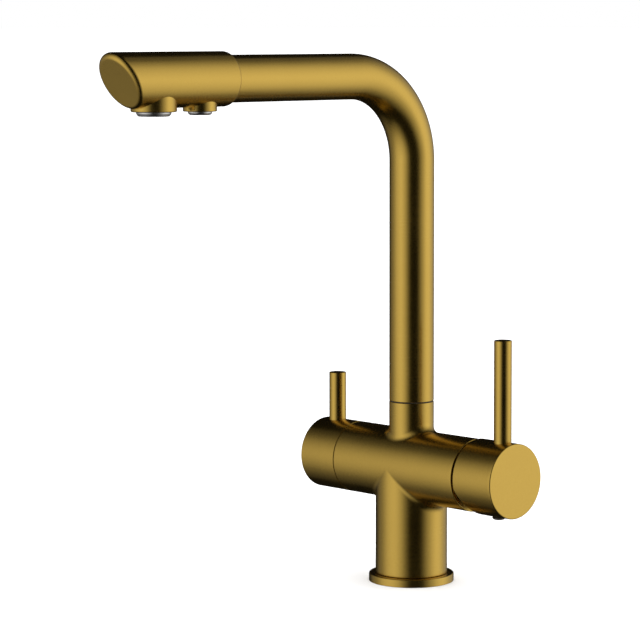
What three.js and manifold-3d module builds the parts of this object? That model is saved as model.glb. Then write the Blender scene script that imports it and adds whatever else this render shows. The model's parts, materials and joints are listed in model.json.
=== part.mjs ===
// Three way filtered water tap, millimetres, +Z up.
// The origin is the middle of the base, on the worktop. The spout points along -Y, the mixer handle
// is at +X and the filtered water handle at -X. Pieces that turn about a level axis are revolved
// about their own Z and then laid down by the group that holds them.
import * as THREE from 'three';
import { mergeVertices } from 'three/addons/utils/BufferGeometryUtils.js';
import Module from 'manifold-3d';

const wasm = await Module();
wasm.setup();

// ---------------------------------------------------------------- driving dimensions

const seat = 0.3;                    // clearance where one piece rests on or in another
const edge = 0.5;                    // chamfer on machined edges
const overrun = 1;                   // of a cutter past the face that it opens

// base and valve body
const flangeRadius = 26.7;
const flangeHeight = 5;
const flangeRound = 0.8;
const bodyRadius = 22.5;             // column and cross tube are turned from the same bar
const spigotRadius = 20.2;           // foot of the column, inside the flange
const crossHeight = 72.9;            // height of the axis that both handles turn on
const mixerFace = 56;                // end of the cross tube on the mixer side
const filterFace = 47.8;             // end of the cross tube on the filter side
const bodyFillet = 4;                // column to cross tube
const neckFillet = 3.5;              // neck to cross tube
const filletSpan = 82;               // degrees that the column's fillets reach each way
const baseSealWidth = 2.8;
const baseSealHeight = 1.8;

// sockets and waterways in the body
const socketRadius = 4.6;
const socketDepth = 12;
const socketPitch = 16.2;            // the four sockets sit on a square
const studRadius = 3.4;
const waterwayRadius = 2.6;
const passageWall = 1.3;             // between the filtered and the mixed passage in the neck
const inletDrop = 5;                 // hot and cold passages, below the handle axis
const outletRise = 9;                // mixed passage, above the handle axis
const cleanOffset = 5;               // filtered passages, each side of the middle

// neck and swivel
const neckRadius = 14.05;
const swivelHeight = 114.4;          // lower end of the riser
const bearingThickness = 0.6;
const neckBore = 11.2;
const neckBoreDepth = 14.4;
const swivelScrewRadius = 2.2;
const grooveDepth = 2;               // round the base fitting
const oRingThickness = 1.8;
const oRingInset = 2.4;              // from the ends of the neck's bore

// spout
const riserRadius = 14;
const riserWall = 1.5;
const armHeight = 317.3;
const bendRadius = 53.1;
const fittingLength = 13.5;          // of the base fitting inside the riser
const fittingBore = 7.4;

// line for the filtered water, inside the spout
const waterTubeRadius = 3.2;
const waterTubeBore = 2;
const barbRadius = 1.8;
const barbLength = 8;
const lineBore = 1;
const ferruleRadius = 4;
const ferruleDepth = 8;              // below the floor of the neck's bore
const ferruleRim = 0.9;
const ferruleCollar = 3.2;
const elbowRadius = 2.9;
const elbowBore = 1.3;
const elbowDrop = 10;                // from the arm's axis down into the head
const elbowLand = 4;                 // of the head below the elbow
const knuckleRadius = 4.2;
const knuckleDrop = 5.7;

// outlet head
const headRadius = 16.15;
const headStart = 153.5;             // from the riser's axis
const headLength = 81.3;             // to where the arm's axis meets the end cap
const headLap = 6;                   // of the sleeve over the arm
const headBore = 13;
const headLip = 0.2;                 // flat end of the sleeve, round the arm
const headShoulder = 2.7;            // length of the sleeve's rounded end
const headCut = 28.4;                // degrees that the end cap leans out at the top
const capRadius = 14.9;
const capThickness = 1.75;
const capRound = 1.6;                // of the cap's outer edge
const capGroove = 0.7;               // between the cap and the sleeve
const capGrooveDepth = 0.8;
const capSpigot = 6.5;               // from the cap's face to its end inside the sleeve

// outlets, along the arm and from the arm's axis down
const mixedOutletSetback = 26.6;     // back from the head's tip
const mixedBossRadius = 13.25;
const mixedBossDrop = 18.2;
const mixedBossEdge = 0.8;
const mixedWellTop = 9.5;
const mixedAeratorRadius = 10.1;
const mixedAeratorDrop = 20.7;
const filterOutletPlace = 20.1;      // from the head's start
const filterBossRadius = 9.9;
const filterBossTop = 6;             // inside the sleeve
const filterBossDrop = 18.6;
const filterBossEdge = 0.6;
const filterWellTop = 10.8;
const filterAeratorRadius = 7.1;
const filterAeratorDrop = 20.6;

// aerators
const bossWall = 0.9;
const outletThread = 5.5;            // length of thread that holds an aerator
const outletSealHeight = 1.1;
const aeratorWall = 1.4;
const aeratorRim = 0.9;              // height of the lip's upright part
const aeratorTaper = 1.1;            // of the lip, inwards
const ledgeWidth = 0.9;              // under the honeycomb
const ledgeHeight = 1;
const meshHeight = 3.4;
const meshPitch = 2.4;
const meshHole = 1.15;

// levers and the grub screws that hold the knobs
const leverRadius = 5.45;
const leverSink = 3.6;               // depth of the lever's counterbore
const leverStudRadius = 3.3;
const grubRadius = 2.4;
const grubSink = 8;                  // below the knob's surface
const hexKeyRadius = 1.4;
const hexKeyDepth = 2;

// mixer handle
const mixerGap = 1.5;                // running gap at the seam, which lets the handle tilt
const mixerKnobStep = 0.5;           // that the knob stands proud of the body
const mixerKnobLength = 30.7;
const mixerKnobWall = 2.2;
const mixerHollow = 13.1;            // depth of the hollow behind the seam
const reliefStart = 4.2;             // below the axis
const reliefAngle = 25.2;
const mixerLeverPlace = 20.6;        // from the knob's rim
const mixerLeverTop = 85.2;          // above the handle axis
const mixerStudDepth = 11;           // from the handle axis to the end of the lever's stud hole
const plugRadius = 4;
const plugHeight = 1.7;
const plugShank = 6;
const plugPlace = 17.7;              // from the knob's rim

// mixer cartridge, from the body's face; inwards is negative
const cartridgeRadius = 17.3;
const cartridgeWall = 2;
const cartridgeDepth = 27.2;
const cartridgeShoulder = 3.5;
const cartridgeSealHeight = 1.6;
const sealPortRadius = 3.4;
const pivotPlace = 5;                // of the stem's pin, outside the face
const pinRadius = 1.5;
const pinPress = 0.05;
const pinRunning = 0.15;
const stemReach = 14;                // from the pin to the ball end
const stemShank = 2.2;
const stemWidth = 6;
const stemShoulder = 4;              // of the square end, below the pin
const stemGrip = 9;                  // of the square end inside the knob
const ballRadius = 2.7;
const discThickness = 4;
const fixedDiscRadius = 15;
const movingDiscRadius = 9.2;
const mixingRadius = 3;
const mixingDepth = 2.4;
const sliderThickness = 5;
const carrierRadius = 10.2;
const carrierLip = 3;                // beyond the pin
const carrierSlot = 14;
const nutRadius = 19;
const nutGripRadius = 16.4;
const nutGripHeight = 2;
const coverRingRadius = 19.8;
const coverRingHeight = 1.1;

// filter handle and quarter turn valve, from the body's face
const filterGap = 0.4;
const filterKnobLength = 29.8;
const filterKnobWall = 2.4;
const filterHollow = 13;
const filterLeverPlace = 19;
const filterLeverTop = 52.7;
const filterStudDepth = 9;
const quarterRadius = 10.4;
const quarterDepth = 25;
const quarterWall = 2.2;
const quarterLand = 6;               // that holds the spindle in
const quarterHexWidth = 21;
const quarterHexHeight = 5;
const quarterNeckRadius = 7.5;
const quarterNeckEnd = 11;
const quarterPortRadius = 2.2;
const quarterPortPlace = 4.2;
const spindleRadius = 4;
const spindleEnd = 21;
const filterDiscThickness = 3.7;
const portSealHeight = 4;
const pocketWidth = 4;
const pocketDepth = 1.2;

// facets of a full turn
const fine = 32;
const middle = 16;
const coarse = 10;
const arcSteps = 3;
const bendSteps = 10;

// ---------------------------------------------------------------- shapes

const degrees = Math.PI / 180;

// Place and turn, in degrees about X, Y and Z, as one matrix
function at(x, y, z, turnX = 0, turnY = 0, turnZ = 0) {
  const turn = new THREE.Euler(turnX * degrees, turnY * degrees, turnZ * degrees);
  return new THREE.Matrix4().makeRotationFromEuler(turn).setPosition(x, y, z);
}

function volumeOf(position, corners) {
  const [a, b, c] = [new THREE.Vector3(), new THREE.Vector3(), new THREE.Vector3()];
  let sum = 0;
  for (let i = 0; i < corners.length; i += 3) {
    a.fromBufferAttribute(position, corners[i]);
    b.fromBufferAttribute(position, corners[i + 1]);
    c.fromBufferAttribute(position, corners[i + 2]);
    sum += a.dot(b.cross(c)) / 6;
  }
  return sum;
}

// A closed geometry as a solid that can be joined and cut, with its faces pointing out
function solid(geometry, place) {
  geometry.deleteAttribute('normal');
  geometry.deleteAttribute('uv');
  if (place) geometry.applyMatrix4(place);
  const merged = mergeVertices(geometry, 1e-4);
  const position = merged.getAttribute('position');
  const corners = [];
  for (let i = 0; i < merged.index.count; i += 3) {
    const [a, b, c] = [merged.index.getX(i), merged.index.getX(i + 1), merged.index.getX(i + 2)];
    if (a !== b && b !== c && c !== a) corners.push(a, b, c);
  }
  if (volumeOf(position, corners) < 0) corners.reverse();
  const vertProperties = new Float32Array(position.array);
  const triVerts = new Uint32Array(corners);
  return new wasm.Manifold(new wasm.Mesh({ numProp: 3, vertProperties, triVerts }));
}

// Profile of [radius, height] points, from axis to axis, revolved about Z
function turned(profile, steps = fine, place = undefined) {
  const points = profile.map(([radius, height]) => new THREE.Vector2(radius, height));
  const geometry = new THREE.LatheGeometry(points, steps);
  geometry.rotateX(Math.PI / 2);
  return solid(geometry, place);
}

// Profile that closes on itself, revolved about Z
function ring(profile, steps = fine, place = undefined) {
  return turned([...profile, profile[0]], steps, place);
}

// Plain ring between two radii and two heights
function washer(inner, outer, low, high, steps = fine, place = undefined) {
  return ring([[inner, low], [outer, low], [outer, high], [inner, high]], steps, place);
}

// Bar with chamfered ends
function bar(radius, low, high, steps = fine, chamferLow = 0, chamferHigh = 0, place = undefined) {
  const profile = [[0, low], [radius - chamferLow, low]];
  if (chamferLow > 0) profile.push([radius, low + chamferLow]);
  if (chamferHigh > 0) profile.push([radius, high - chamferHigh]);
  profile.push([radius - chamferHigh, high], [0, high]);
  return turned(profile, steps, place);
}

// Round hole from one point to another
function drill(radius, from, to, steps = coarse) {
  const start = new THREE.Vector3(...from);
  const run = new THREE.Vector3(...to).sub(start);
  const geometry = new THREE.CylinderGeometry(radius, radius, run.length(), steps);
  geometry.translate(0, run.length() / 2, 0);
  const turn = new THREE.Quaternion().setFromUnitVectors(new THREE.Vector3(0, 1, 0), run.normalize());
  geometry.applyQuaternion(turn);
  return solid(geometry, at(start.x, start.y, start.z));
}

function block(width, depth, height, place) {
  return solid(new THREE.BoxGeometry(width, depth, height), place);
}

// Outline extruded upwards from Z 0
function prism(outline, height, place, curveSegments = 1) {
  const options = { depth: height, bevelEnabled: false, steps: 1, curveSegments };
  return solid(new THREE.ExtrudeGeometry(outline, options), place);
}

function polygon(sides, radius, turn = 0) {
  const points = [];
  for (let i = 0; i < sides; i += 1) {
    const heading = turn + i * 2 * Math.PI / sides;
    points.push(new THREE.Vector2(Math.cos(heading) * radius, Math.sin(heading) * radius));
  }
  return points;
}

const join = (first, ...rest) => rest.reduce((whole, piece) => whole.add(piece), first);
const cut = (first, ...rest) => rest.reduce((whole, piece) => whole.subtract(piece), first);

// Sections of equal point counts, skinned in order; the last meets the first where it is a loop
function lofted(sections, loop) {
  const count = sections[0].length;
  const position = sections.flat().flatMap((point) => [point.x, point.y, point.z]);
  const corners = [];
  const spans = loop ? sections.length : sections.length - 1;
  for (let i = 0; i < spans; i += 1) {
    const here = i * count;
    const next = (i + 1) % sections.length * count;
    for (let j = 0; j < count; j += 1) {
      const beside = (j + 1) % count;
      corners.push(here + j, next + j, next + beside, here + j, next + beside, here + beside);
    }
  }
  if (!loop) {
    const last = (sections.length - 1) * count;
    for (let j = 0; j < count - 2; j += 1) {
      corners.push(count - 1, j, j + 1, last + count - 1, last + j + 1, last + j);
    }
  }
  const geometry = new THREE.BufferGeometry();
  geometry.setAttribute('position', new THREE.Float32BufferAttribute(position, 3));
  geometry.setIndex(corners);
  return solid(geometry);
}

// Rolling ball fillet between an upright post and a level beam along X whose axis is at crossHeight.
// At each heading round the post, the ball of the fillet's radius touches both of them.
function postFillet(post, beam, fillet, side, fromHeading, toHeading, steps) {
  const loop = toHeading - fromHeading > 359;
  const sink = 0.4;
  const sections = [];
  for (let i = 0; i < steps + (loop ? 0 : 1); i += 1) {
    const heading = (fromHeading + (toHeading - fromHeading) * i / steps) * degrees;
    const ball = new THREE.Vector3(Math.cos(heading), Math.sin(heading), 0).multiplyScalar(post + fillet);
    ball.z = side * Math.sqrt((beam + fillet) ** 2 - ball.y ** 2);
    const toPost = new THREE.Vector3(-Math.cos(heading), -Math.sin(heading), 0);
    const toBeam = new THREE.Vector3(0, -ball.y, -ball.z).normalize();
    const opening = toPost.angleTo(toBeam);
    const arc = [];
    for (let j = 0; j <= arcSteps; j += 1) {
      const share = j / arcSteps;
      const spoke = toPost.clone().multiplyScalar(Math.sin((1 - share) * opening));
      spoke.addScaledVector(toBeam, Math.sin(share * opening)).normalize();
      arc.push(ball.clone().addScaledVector(spoke, fillet));
    }
    const inward = toPost.clone().add(toBeam).normalize();
    const corner = ball.clone().addScaledVector(inward, fillet / Math.cos(opening / 2) + sink);
    const sunkPost = arc[0].clone().addScaledVector(toPost, sink);
    const sunkBeam = arc[arcSteps].clone().addScaledVector(toBeam, sink);
    const section = [sunkPost, ...arc, sunkBeam, corner];
    section.forEach((point) => { point.z += crossHeight; });
    sections.push(section);
  }
  return lofted(sections, loop);
}

// Riser, bend and arm as one line. Equal steps of t put one step on each straight run.
class SpoutLine extends THREE.Curve {
  constructor(start, end, steps) {
    super();
    Object.assign(this, { start, end, steps });
  }

  getUtoTmapping(share) {
    return share;
  }

  bendTurn(t) {
    return THREE.MathUtils.clamp((t * this.steps - 1) / (this.steps - 2), 0, 1) * Math.PI / 2;
  }

  getPoint(t) {
    const turn = this.bendTurn(t);
    const along = bendRadius * (1 - Math.cos(turn));
    const up = armHeight - bendRadius + bendRadius * Math.sin(turn);
    const before = Math.max(0, 1 - t * this.steps);
    const after = Math.max(0, t * this.steps - (this.steps - 1));
    const low = up - before * (armHeight - bendRadius - this.start);
    return new THREE.Vector3(0, -along - after * (this.end - bendRadius), low);
  }

  getTangent(t) {
    const turn = this.bendTurn(t);
    return new THREE.Vector3(0, -Math.sin(turn), Math.cos(turn));
  }
}

function spoutPipe(outer, inner, start, end, around, steps) {
  const section = new THREE.Shape().absarc(0, 0, outer, 0, 2 * Math.PI, false);
  section.holes.push(new THREE.Path().absarc(0, 0, inner, 0, 2 * Math.PI, true));
  const extrudePath = new SpoutLine(start, end, steps);
  return solid(new THREE.ExtrudeGeometry(section, { extrudePath, steps, curveSegments: around / 2 }));
}

// ---------------------------------------------------------------- finishes and nodes

const finishes = {
  gold: { color: 0xa58c41, roughness: 0.34, metalness: 1 },
  brass: { color: 0xb5954e, roughness: 0.4, metalness: 1 },
  steel: { color: 0x9a9a98, roughness: 0.35, metalness: 1 },
  silver: { color: 0xb4b0a8, roughness: 0.3, metalness: 0.9 },
  ceramic: { color: 0xe9e6dd, roughness: 0.3, metalness: 0 },
  plastic: { color: 0xd8d6cf, roughness: 0.5, metalness: 0 },
  darkPlastic: { color: 0x3c3a36, roughness: 0.5, metalness: 0 },
  rubber: { color: 0x1c1b1a, roughness: 0.8, metalness: 0 },
  hose: { color: 0xe2ded2, roughness: 0.45, metalness: 0 },
};

function addPiece(parent, name, shape, finish, place = at(0, 0, 0)) {
  const { vertProperties, triVerts } = shape.getMesh();
  const geometry = new THREE.BufferGeometry();
  geometry.setAttribute('position', new THREE.BufferAttribute(vertProperties, 3));
  geometry.setIndex(new THREE.BufferAttribute(triVerts, 1));
  geometry.computeVertexNormals();
  const mesh = new THREE.Mesh(geometry, new THREE.MeshStandardMaterial(finishes[finish]));
  mesh.name = name;
  mesh.applyMatrix4(place);
  parent.add(mesh);
}

function addGroup(parent, place) {
  const group = new THREE.Group();
  group.applyMatrix4(place);
  parent.add(group);
  return group;
}

// ---------------------------------------------------------------- worked out places

const bearingLow = swivelHeight - seat - bearingThickness;
const neckTop = bearingLow - seat;
const neckFloor = neckTop - neckBoreDepth;
const swivelScrewHeight = neckFloor + neckBoreDepth / 2;
const grooveFloor = neckBore - grooveDepth;
const oRingLow = neckFloor + seat + oRingInset;
const oRingHigh = neckTop - oRingInset;
const ferruleFloor = neckFloor - ferruleDepth;
const tubeLow = neckFloor + ferruleCollar + 2 * seat;

const mixerKnobRadius = bodyRadius + mixerKnobStep;
const mixerKnobFloor = mixerGap + mixerHollow;
const mixerKnobEnd = mixerGap + mixerKnobLength;
const mixerLeverAxis = mixerGap + mixerLeverPlace;
const plugAxis = mixerGap + plugPlace;
const ballPlace = pivotPlace - stemReach;
const sliderBack = ballPlace - sliderThickness / 2;
const movingBack = sliderBack - seat - discThickness;
const fixedBack = movingBack - seat - discThickness;
const cartridgeSealLow = -cartridgeDepth + seat;
const cartridgeSealTop = cartridgeSealLow + cartridgeSealHeight;
const cartridgeBack = cartridgeSealTop + seat;
const housingNeck = carrierRadius + seat;

const filterKnobRadius = bodyRadius;
const filterKnobFloor = filterGap + filterHollow;
const filterKnobEnd = filterGap + filterKnobLength;
const filterLeverAxis = filterGap + filterLeverPlace;

const headTip = headStart + headLength;
const mixedOutlet = headTip - mixedOutletSetback;
const filterOutlet = headStart + filterOutletPlace;

// ---------------------------------------------------------------- base and valve body

function baseFlange() {
  const inner = spigotRadius + seat;
  const grooveInner = inner + edge;
  const grooveOuter = grooveInner + baseSealWidth + 2 * seat;
  const grooveTop = baseSealHeight + seat;
  return ring([
    [inner, 0], [grooveInner, 0], [grooveInner, grooveTop], [grooveOuter, grooveTop], [grooveOuter, 0],
    [flangeRadius, 0], [flangeRadius, flangeHeight - flangeRound],
    [flangeRadius - 0.3 * flangeRound, flangeHeight - 0.3 * flangeRound],
    [flangeRadius - flangeRound, flangeHeight], [inner, flangeHeight],
  ]);
}

function baseSeal() {
  const inner = spigotRadius + 2 * seat + edge;
  return washer(inner, inner + baseSealWidth, 0, baseSealHeight);
}

// Sockets for the three hoses and the stud, on a square round the solid middle of the underside
const socketSide = socketPitch / 2;
const hotSocket = [socketSide, socketSide];
const coldSocket = [socketSide, -socketSide];
const filterSocket = [-socketSide, -socketSide];
const studSocket = [-socketSide, socketSide];

function bodyOutside() {
  const foot = flangeHeight + seat;
  const column = turned([
    [0, 0], [spigotRadius, 0], [spigotRadius, foot], [bodyRadius, foot], [bodyRadius, crossHeight],
    [0, crossHeight],
  ]);
  return join(
    column,
    bar(bodyRadius, -filterFace, mixerFace, fine, edge, edge, at(0, 0, crossHeight, 0, 90, 0)),
    bar(neckRadius, crossHeight, neckTop, fine, 0, edge),
    postFillet(neckRadius, bodyRadius, neckFillet, 1, 0, 360, fine),
    postFillet(bodyRadius, bodyRadius, bodyFillet, -1, -filletSpan, filletSpan, 12),
    postFillet(bodyRadius, bodyRadius, bodyFillet, -1, 180 - filletSpan, 180 + filletSpan, 12),
  );
}

// Hot and cold run from their sockets to the cartridge, and mixed water from there up to the neck.
// Filtered water goes through the quarter turn valve and up the middle.
function waterways(chamberFloor, quarterFloor) {
  const way = (from, to) => drill(waterwayRadius, from, to);
  const lowEnd = socketDepth - overrun;
  const inlet = crossHeight - inletDrop;
  const outlet = crossHeight + outletRise;
  const toCartridge = chamberFloor + overrun;
  const toQuarter = quarterFloor - overrun;
  const mixed = ferruleRadius + passageWall + waterwayRadius;
  const inlets = [hotSocket, coldSocket].flatMap(([x, y]) => [
    way([x, y, lowEnd], [x, y, inlet]),
    way([x, y, inlet], [toCartridge, y, inlet]),
  ]);
  return [
    ...inlets,
    way([...filterSocket, lowEnd], [...filterSocket, crossHeight]),
    way([filterSocket[0], -cleanOffset, crossHeight], [toQuarter, -cleanOffset, crossHeight]),
    way([toQuarter, cleanOffset, crossHeight], [0, cleanOffset, crossHeight]),
    way([-overrun, cleanOffset, crossHeight], [0, overrun, ferruleFloor + overrun]),
    way([mixed, 0, outlet], [mixed, 0, neckFloor + overrun]),
    way([mixed, 0, outlet], [toCartridge, 0, outlet]),
  ];
}

function valveBody() {
  const along = at(0, 0, crossHeight, 0, 90, 0);
  const chamberFloor = mixerFace - cartridgeDepth;
  const quarterFloor = -filterFace + quarterDepth;
  const mouthLow = mixerFace - cartridgeShoulder - edge;
  const socket = (radius, [x, y]) => drill(radius, [x, y, -overrun], [x, y, socketDepth]);
  const screwHole = drill(
    swivelScrewRadius + seat,
    [0, neckRadius + overrun, swivelScrewHeight],
    [0, neckBore - overrun, swivelScrewHeight],
  );
  return cut(
    bodyOutside(),
    bar(cartridgeRadius + seat, chamberFloor, mixerFace + overrun, fine, 0, 0, along),
    bar(nutRadius + seat, mouthLow, mixerFace + overrun, fine, 0, 0, along),
    bar(quarterRadius + seat, -filterFace - overrun, quarterFloor, middle, 0, 0, along),
    bar(neckBore, neckFloor, neckTop + overrun, middle),
    bar(ferruleRadius + seat, ferruleFloor, neckFloor + overrun, coarse),
    screwHole,
    socket(socketRadius, hotSocket),
    socket(socketRadius, coldSocket),
    socket(socketRadius, filterSocket),
    socket(studRadius, studSocket),
    ...waterways(chamberFloor, quarterFloor),
  );
}

function hexKeySocket(top) {
  const outline = new THREE.Shape(polygon(6, hexKeyRadius));
  return prism(outline, hexKeyDepth + overrun, at(0, 0, top - hexKeyDepth));
}

function addBase(tap) {
  addPiece(tap, 'base_flange', baseFlange(), 'gold');
  addPiece(tap, 'base_seal', baseSeal(), 'rubber');
  addPiece(tap, 'valve_body', valveBody(), 'gold');
  const bearing = washer(neckBore, neckRadius - seat, bearingLow, bearingLow + bearingThickness, middle);
  addPiece(tap, 'neck_bearing_ring', bearing, 'darkPlastic');
  const screwEnd = neckRadius - edge;
  const screw = bar(swivelScrewRadius, grooveFloor + seat, screwEnd, coarse, edge, 0);
  const towardsBack = at(0, 0, swivelScrewHeight, -90, 0, 0);
  addPiece(tap, 'spout_set_screw', cut(screw, hexKeySocket(screwEnd)), 'steel', towardsBack);
}

// ---------------------------------------------------------------- both handles

// Seat for a lever in a knob, counterbore and stud hole, and the screw hole that faces it.
// They lie along the knob's own X: up is -90 on the mixer side and 90 on the filter side.
function leverSeat(knobRadius, place, studDepth, up) {
  const counterbore = knobRadius - leverSink;
  const lie = at(0, 0, place, 0, up, 0);
  return join(
    bar(leverRadius + seat, counterbore, knobRadius + overrun, middle, 0, 0, lie),
    bar(leverStudRadius + seat, studDepth, counterbore + overrun, coarse, 0, 0, lie),
  );
}

function screwHole(knobRadius, place, up) {
  return bar(grubRadius + seat, 0, knobRadius + overrun, coarse, 0, 0, at(0, 0, place, 0, -up, 0));
}

function lever(knobRadius, top, studDepth) {
  const shoulder = knobRadius - leverSink + seat;
  return turned([
    [0, studDepth + seat], [leverStudRadius, studDepth + seat], [leverStudRadius, shoulder],
    [leverRadius, shoulder], [leverRadius, top - edge], [leverRadius - edge, top], [0, top],
  ], middle);
}

function grubScrew(low, high) {
  return cut(bar(grubRadius, low, high, coarse, edge, 0), hexKeySocket(high));
}

// Cup that opens towards the body, with a small chamfer at the seam and a larger one at the end
function knobCup(radius, wall, gap, floor, end) {
  return turned([
    [0, floor], [radius - wall, floor], [radius - wall, gap], [radius - edge / 2, gap],
    [radius, gap + edge / 2], [radius, end - edge], [radius - edge, end], [0, end],
  ]);
}

// ---------------------------------------------------------------- mixer side

// The rim leans away from the body below the axis, so that the handle can tilt
function rimRelief() {
  const reach = mixerKnobRadius + mixerHollow;
  const rise = (reach - reliefStart) * Math.tan(reliefAngle * degrees);
  const wedge = new THREE.Shape([
    new THREE.Vector2(reliefStart, -overrun), new THREE.Vector2(reach, -overrun),
    new THREE.Vector2(reach, mixerGap + rise), new THREE.Vector2(reliefStart, mixerGap),
  ]);
  return prism(wedge, 4 * mixerKnobRadius, at(0, 2 * mixerKnobRadius, 0, 90, 0, 0));
}

function mixerKnob() {
  const socketWidth = stemWidth + 2 * seat;
  const socketHeight = stemGrip + seat + overrun;
  const socketMiddle = mixerKnobFloor - overrun + socketHeight / 2;
  return cut(
    knobCup(mixerKnobRadius, mixerKnobWall, mixerGap, mixerKnobFloor, mixerKnobEnd),
    rimRelief(),
    block(socketWidth, socketWidth, socketHeight, at(0, 0, socketMiddle)),
    leverSeat(mixerKnobRadius, mixerLeverAxis, mixerStudDepth, -90),
    screwHole(mixerKnobRadius, plugAxis, -90),
  );
}

// Stem of the cartridge: ball end, round shank, pin eye and square end
function cartridgeStem() {
  const shank = turned([
    [0, ballPlace - ballRadius], [ballRadius * 0.7, ballPlace - ballRadius * 0.7],
    [ballRadius, ballPlace], [ballRadius * 0.8, ballPlace + ballRadius * 0.6],
    [stemShank, ballPlace + ballRadius], [stemShank, pivotPlace], [0, pivotPlace],
  ], coarse);
  const squareLow = pivotPlace - stemShoulder;
  const squareEnd = mixerKnobFloor + stemGrip;
  const square = block(stemWidth, stemWidth, squareEnd - squareLow, at(0, 0, (squareEnd + squareLow) / 2));
  const eye = drill(pinRadius + pinRunning, [0, -stemWidth, pivotPlace], [0, stemWidth, pivotPlace]);
  return cut(join(shank, square), eye);
}

function cartridgeCarrier() {
  const turningRadius = cartridgeRadius - cartridgeWall - seat;
  const low = sliderBack + sliderThickness + seat;
  const step = -cartridgeShoulder - cartridgeWall - seat;
  const top = pivotPlace + carrierLip;
  const turning = turned([
    [0, low], [turningRadius, low], [turningRadius, step], [carrierRadius, step],
    [carrierRadius, top - edge], [carrierRadius - edge, top], [0, top],
  ], middle);
  const slot = block(carrierSlot, stemWidth + 2 * seat, 2 * cartridgeDepth, at(0, 0, 0));
  const across = carrierRadius + overrun;
  const pinHole = drill(pinRadius + pinPress, [0, -across, pivotPlace], [0, across, pivotPlace]);
  return cut(turning, slot, pinHole);
}

function cartridgeHousing() {
  const inner = cartridgeRadius - cartridgeWall;
  const shoulderLow = -cartridgeShoulder - cartridgeWall;
  const neckOuter = housingNeck + cartridgeWall;
  const neckEnd = pivotPlace - carrierLip;
  return ring([
    [inner, cartridgeBack], [cartridgeRadius, cartridgeBack], [cartridgeRadius, -cartridgeShoulder],
    [neckOuter, -cartridgeShoulder], [neckOuter, neckEnd], [housingNeck, neckEnd],
    [housingNeck, shoulderLow], [inner, shoulderLow],
  ]);
}

function cartridgeNut() {
  const low = -cartridgeShoulder + seat;
  const grip = new THREE.Shape(polygon(8, nutGripRadius, Math.PI / 8));
  return cut(
    join(bar(nutRadius, low, -seat, fine), prism(grip, nutGripHeight - low, at(0, 0, low))),
    bar(housingNeck + cartridgeWall + seat, low - overrun, nutGripHeight + overrun, middle),
  );
}

// Round plate of the cartridge with its ports: hot, cold and the mixed outlet above them
function portedPlate(radius, low, high, portRadius) {
  const ports = [[inletDrop, socketSide], [inletDrop, -socketSide], [-outletRise, 0]];
  const port = ([x, y]) => drill(portRadius, [x, y, low - overrun], [x, y, high + overrun]);
  return cut(bar(radius, low, high, middle), ...ports.map(port));
}

function movingDisc() {
  const low = movingBack - overrun;
  const window = drill(mixingRadius, [-mixingRadius, 0, low], [-mixingRadius, 0, movingBack + mixingDepth]);
  return cut(bar(movingDiscRadius, movingBack, movingBack + discThickness, middle), window);
}

function discSlider() {
  const end = sliderBack + sliderThickness;
  const ballHole = bar(ballRadius + seat, ballPlace - ballRadius - seat, end + overrun, coarse);
  return cut(bar(movingDiscRadius - edge, sliderBack, end, middle), ballHole);
}

function indexPlug() {
  const base = mixerKnobRadius + seat;
  return turned([
    [0, base - plugShank], [grubRadius, base - plugShank], [grubRadius, base], [plugRadius, base],
    [plugRadius, base + 0.4 * plugHeight], [0.8 * plugRadius, base + 0.85 * plugHeight],
    [0, base + plugHeight],
  ], middle);
}

function addMixerSide(tap) {
  const side = addGroup(tap, at(mixerFace, 0, crossHeight, 0, 90, 0));
  const inner = cartridgeRadius - cartridgeWall - seat;
  const seal = portedPlate(inner, cartridgeSealLow, cartridgeSealTop, sealPortRadius);
  addPiece(side, 'cartridge_seal', seal, 'rubber');
  const base = portedPlate(inner, cartridgeBack, fixedBack - seat, waterwayRadius);
  addPiece(side, 'cartridge_base', base, 'plastic');
  addPiece(side, 'cartridge_housing', cartridgeHousing(), 'plastic');
  const fixed = portedPlate(fixedDiscRadius, fixedBack, fixedBack + discThickness, waterwayRadius);
  addPiece(side, 'fixed_ceramic_disc', fixed, 'ceramic');
  addPiece(side, 'cartridge_nut', cartridgeNut(), 'brass');
  const cover = washer(nutGripRadius + seat, coverRingRadius, seat, seat + coverRingHeight);
  addPiece(side, 'cartridge_cover_ring', cover, 'darkPlastic');

  addPiece(side, 'cartridge_carrier', cartridgeCarrier(), 'plastic');
  const pin = bar(pinRadius, -carrierRadius + edge, carrierRadius - edge, coarse);
  addPiece(side, 'cartridge_pin', pin, 'steel', at(0, 0, pivotPlace, 90, 0, 0));
  addPiece(side, 'moving_ceramic_disc', movingDisc(), 'ceramic');
  addPiece(side, 'disc_slider', discSlider(), 'plastic');

  addPiece(side, 'cartridge_stem', cartridgeStem(), 'brass');
  addPiece(side, 'mixer_knob', mixerKnob(), 'gold');
  const rod = lever(mixerKnobRadius, mixerLeverTop, mixerStudDepth);
  addPiece(side, 'mixer_lever', rod, 'gold', at(0, 0, mixerLeverAxis, 0, -90, 0));
  const grub = grubScrew(stemWidth / 2 + seat, mixerKnobRadius - grubSink);
  addPiece(side, 'mixer_set_screw', grub, 'steel', at(0, 0, plugAxis, 0, 90, 0));
  addPiece(side, 'mixer_index_plug', indexPlug(), 'darkPlastic', at(0, 0, plugAxis, 0, 90, 0));
}

// ---------------------------------------------------------------- filter side

function filterKnob() {
  return cut(
    knobCup(filterKnobRadius, filterKnobWall, filterGap, filterKnobFloor, filterKnobEnd),
    bar(spindleRadius + seat, filterKnobFloor - overrun, spindleEnd + seat, coarse),
    leverSeat(filterKnobRadius, filterLeverAxis, filterStudDepth, 90),
    screwHole(filterKnobRadius, filterLeverAxis, 90),
  );
}

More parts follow.
